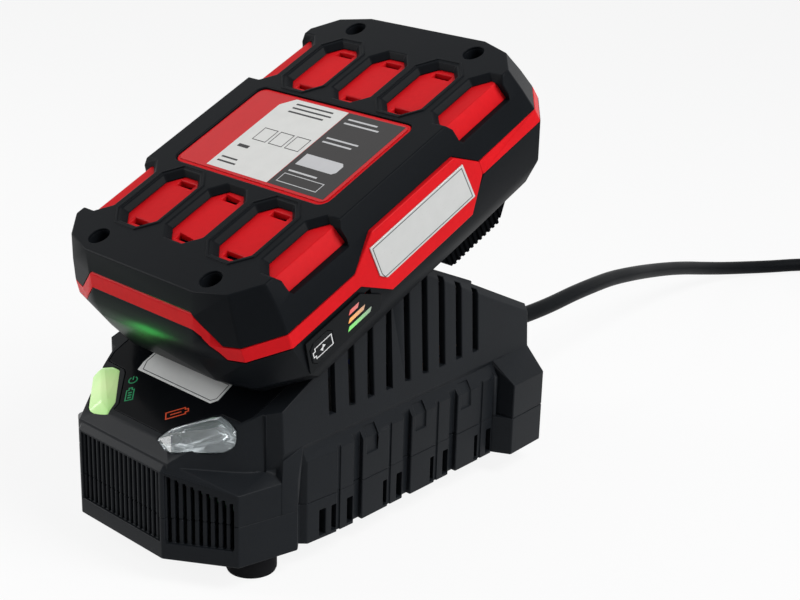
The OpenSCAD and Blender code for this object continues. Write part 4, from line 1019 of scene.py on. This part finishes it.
def print_label(ink, pale):
    """Lays the label's two films and prints its boxes and ragged rows of bars."""
    body = "battery_pack"
    low, high = LABEL_TOP - INK_UNDER, LABEL_TOP + INK_OVER
    base, top = high - FILM_UNDER, high + LINE_OVER
    marks("label_white", [(WHITE_FIELD, None)], low, high, DOCK,
          printed("Label film", (0.7, 0.7, 0.68)), body, "white_label")
    marks("label_dark", [(DARK_FIELD, None)], low, high, DOCK,
          printed("Dark film", (0.03, 0.028, 0.028)), body, "panel_black")
    marks("label_boxes", [*WHITE_BOXES, WHITE_DASH], base, top, DOCK, ink, body,
          "panel_black")
    marks("label_plates", [DARK_PLATE, DARK_BOX], base, top, DOCK, pale, body,
          "silver_label")
    step = (0, sizes().row_pitch / MM, 0)
    rows = [(pale, *row) for row in DARK_ROWS] + [(ink, *row) for row in WHITE_ROWS]
    for k, (material, name, (u, v), count, wide) in enumerate(rows):
        start = DOCK @ Matrix.Translation(Vector((u, v, base)) * MM)
        bar_row(name, material, start, count, step, (wide, ROW_TALL, ROW_THICK), body,
                "white_label", ROW_RAGGED, sizes().row_seed + k)


def side_lines(ink):
    """Prints a thin line round each side plate."""
    for side, name in ((1, "right"), (-1, "left")):
        place = (DOCK @ Matrix.Rotation(side * QUARTER_TURN, 4, "Z")
                 @ Matrix.Rotation(QUARTER_TURN, 4, "X"))
        shown = [(side * x, y) for x, y in SIDE_LINE][::side]
        marks(f"side_line_{name}", [(shown, 0.22)], SIDE_TOP - INK_UNDER,
              SIDE_TOP + LINE_OVER, place, ink, "battery_pack", "silver_label")


def level_display():
    """Fits the charge level display: panel, lit bars and the button with its sign."""
    body, button = "battery_pack", "level_button"
    dressed("level_panel", glossy("Level gloss", (0.005, 0.006, 0.007)), body, 0.1 * MM)
    dressed("level_windows", level_glow("Level windows"), body, 0.08 * MM)
    dressed("level_button", glossy("Button gloss", (0.007, 0.008, 0.009), 0.2), button,
            0.25 * MM)
    marks("button_sign", placed(BUTTON_SIGN, (-8.4, 0)), BUTTON_TOP - INK_UNDER,
          BUTTON_TOP + INK_OVER, LEVEL, printed("White ink", (0.7, 0.7, 0.7)), button,
          "white_label")


class CHARGER_OT_labels(bpy.types.Operator):
    """Finishes the plates, prints the label and fits the charge level display"""

    bl_idname = "charger.labels"
    bl_label = "Labels"

    def execute(self, context):
        ink = printed("Line ink on white", (0.03, 0.03, 0.032))
        pale = printed("Pale ink", (0.55, 0.55, 0.56))
        dressed("rating_plate", printed("Label red", colours().red, 0.3), "battery_pack",
                0.05 * MM)
        dressed("side_plates", printed("Side plate film", colours().silver, 0.3, 0.35),
                "battery_pack", 0.08 * MM)
        print_label(ink, pale)
        side_lines(ink)
        level_display()
        return {"FINISHED"}


class CHARGER_OT_release(bpy.types.Operator):
    """Finishes the ribbed release slider and the springs behind it"""

    bl_idname = "charger.release"
    bl_label = "Release slider"

    def execute(self, context):
        black = moulded("Slider grain", (0.002, 0.0024, 0.003), 0.5, sheen=0.01)
        dressed("release_slider", black, "release_slider", 0.22 * MM)
        springs = finished(
            new_object("slider_springs_dressed", merged("slider_springs")),
            metal("Spring wire", (0.5, 0.5, 0.52), 0.3), "battery_pack",
            SLOTS["slider_springs"], "slider_springs",
        )
        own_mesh(springs)
        return {"FINISHED"}


# ---- studio ---------------------------------------------------------------------------
def area_light(name, power, size, place, target, tone=(1, 1, 1), spread=180):
    """A lamp of that power in watts, aimed at a target."""
    data = bpy.data.lights.new(name, "AREA")
    data.shape = "RECTANGLE"
    data.size, data.size_y = size
    data.energy = power
    data.color = tone
    data.spread = math.radians(spread)
    lamp = new_object(name, data)
    lamp.location = place
    lamp.rotation_euler = (Vector(target) - Vector(place)).to_track_quat("-Z", "Y").to_euler()


CAMERA_SPOT = (0.31809, -0.28877, 0.21002)
CAMERA_TURNS = (44.25, 19.37, 1.76)  # degrees round the charger, above it and of roll
CAMERA_SENSOR, CAMERA_LENS = 36, 71.975


def aim_camera():
    """Aims the camera at the charger from its right front corner."""
    data = bpy.data.cameras.new("Camera")
    data.sensor_width = CAMERA_SENSOR
    data.lens = CAMERA_LENS
    data.clip_start, data.clip_end = 0.01, 20
    camera = new_object("Camera", data)
    az, el, roll = (math.radians(x) for x in CAMERA_TURNS)
    back = Vector((math.sin(az) * math.cos(el), -math.cos(az) * math.cos(el), math.sin(el)))
    right = (-back).cross(Vector((0, 0, 1))).normalized()
    up = right.cross(-back)
    turned = right * math.cos(roll) + up * math.sin(roll)
    up = up * math.cos(roll) - right * math.sin(roll)
    turn = Matrix((turned, up, back)).transposed().to_4x4()
    camera.matrix_world = Matrix.Translation(CAMERA_SPOT) @ turn
    bpy.context.scene.camera = camera


def seen_rays(tree):
    """A socket that is 1 for rays of the camera, of gloss and of glass."""
    path = tree.nodes.new("ShaderNodeLightPath")
    total = path.outputs["Is Camera Ray"]
    for kind in ("Is Glossy Ray", "Is Transmission Ray"):
        most = tree.nodes.new("ShaderNodeMath")
        most.operation = "MAXIMUM"
        tree.links.new(total, most.inputs[0])
        tree.links.new(path.outputs[kind], most.inputs[1])
        total = most.outputs[0]
    return total


def two_way(tree, share, plain, shown, output):
    """Mixes a plain surface or background with the one that those rays are shown."""
    mix = tree.nodes.new("ShaderNodeMixShader")
    out = tree.nodes.new(output)
    for socket, source in zip(mix.inputs, (share, plain.outputs[0], shown.outputs[0])):
        tree.links.new(source, socket)
    tree.links.new(mix.outputs[0], out.inputs["Surface"])


FLOOR = block(-6, -6, 6, 6)
FLOOR_TONE = 0.86
FLOOR_WHITE = 0.88  # glow of the floor for the rays that see it
ROOM_LIGHT = 0.26
LAMP_TARGET = (0, 0, 0.06)
LAMPS = (  # name, watts, size and place
    ("Top box", 4.3, (0.35, 0.35), (0.5, 0.13, 0.72)),
    ("Left box", 3.1, (0.3, 0.6), (-0.6, -0.45, 0.4)),
    ("Right box", 2.0, (0.3, 0.5), (0.75, 0.15, 0.35)),
)


def studio_floor():
    """A pale floor, with a glow that only seen rays meet."""
    mesh = bpy.data.meshes.new("floor")
    mesh.from_pydata([(x, y, 0) for x, y in FLOOR], [], [(0, 1, 2, 3)])
    floor = new_object("floor", mesh)
    material = bpy.data.materials.new("Floor")
    material.use_nodes = True
    tree = material.node_tree
    tree.nodes.clear()
    diffuse = tree.nodes.new("ShaderNodeBsdfDiffuse")
    diffuse.inputs["Color"].default_value = (FLOOR_TONE, FLOOR_TONE, FLOOR_TONE, 1)
    glow = tree.nodes.new("ShaderNodeEmission")
    glow.inputs["Color"].default_value = (1, 1, 1, 1)
    share = tree.nodes.new("ShaderNodeMath")
    share.operation = "MULTIPLY"
    share.inputs[1].default_value = FLOOR_WHITE
    tree.links.new(seen_rays(tree), share.inputs[0])
    two_way(tree, share.outputs[0], diffuse, glow, "ShaderNodeOutputMaterial")
    floor.data.materials.append(material)


def studio_world():
    """A world of dim room light that looks white to seen rays."""
    world = bpy.data.worlds.new("Studio")
    bpy.context.scene.world = world
    world.use_nodes = True
    tree = world.node_tree
    tree.nodes.clear()
    room = tree.nodes.new("ShaderNodeBackground")
    room.inputs["Color"].default_value = (0.9, 0.92, 0.95, 1)
    room.inputs["Strength"].default_value = ROOM_LIGHT
    white = tree.nodes.new("ShaderNodeBackground")
    white.inputs["Color"].default_value = (1, 1, 1, 1)
    two_way(tree, seen_rays(tree), room, white, "ShaderNodeOutputWorld")


class CHARGER_OT_stage(bpy.types.Operator):
    """Makes the camera, the floor, the lamps and the world"""

    bl_idname = "charger.stage"
    bl_label = "Stage"

    def execute(self, context):
        aim_camera()
        context.scene.view_settings.view_transform = "Standard"
        studio_floor()
        studio_world()
        for name, power, size, place in LAMPS:
            area_light(name, power, size, place, LAMP_TARGET)
        area_light("Lens glow", 0.0018, (0.008, 0.01), dock(-22, -76, -33),
                   dock(-11, -62, -12), (0.04, 1.0, 0.12), 70)
        return {"FINISHED"}


# ---- panel and registration -----------------------------------------------------------
STEPS = (
    CHARGER_OT_stage, CHARGER_OT_cord, CHARGER_OT_housing, CHARGER_OT_display,
    CHARGER_OT_inside, CHARGER_OT_pack, CHARGER_OT_labels, CHARGER_OT_release,
)


class CHARGER_PT_panel(bpy.types.Panel):
    """Lists the steps that dress the charger"""

    bl_idname = "CHARGER_PT_panel"
    bl_label = "Battery charger"
    bl_space_type = "VIEW_3D"
    bl_region_type = "UI"
    bl_category = "Charger"

    def draw(self, context):
        for group in (context.scene.charger_sizes, context.scene.charger_colours):
            for key in group.__annotations__:
                self.layout.prop(group, key)
        for step in STEPS:
            self.layout.operator(step.bl_idname)


CLASSES = (ChargerSizes, ChargerColours, *STEPS, CHARGER_PT_panel)


def register():
    for item in CLASSES:
        bpy.utils.register_class(item)
    bpy.types.Scene.charger_sizes = PointerProperty(type=ChargerSizes)
    bpy.types.Scene.charger_colours = PointerProperty(type=ChargerColours)


def unregister():
    del bpy.types.Scene.charger_colours
    del bpy.types.Scene.charger_sizes
    for item in reversed(CLASSES):
        bpy.utils.unregister_class(item)


def main():
    register()
    for step in STEPS:
        group, name = step.bl_idname.split(".")
        getattr(getattr(bpy.ops, group), name)()


if __name__ == "__main__":
    main()
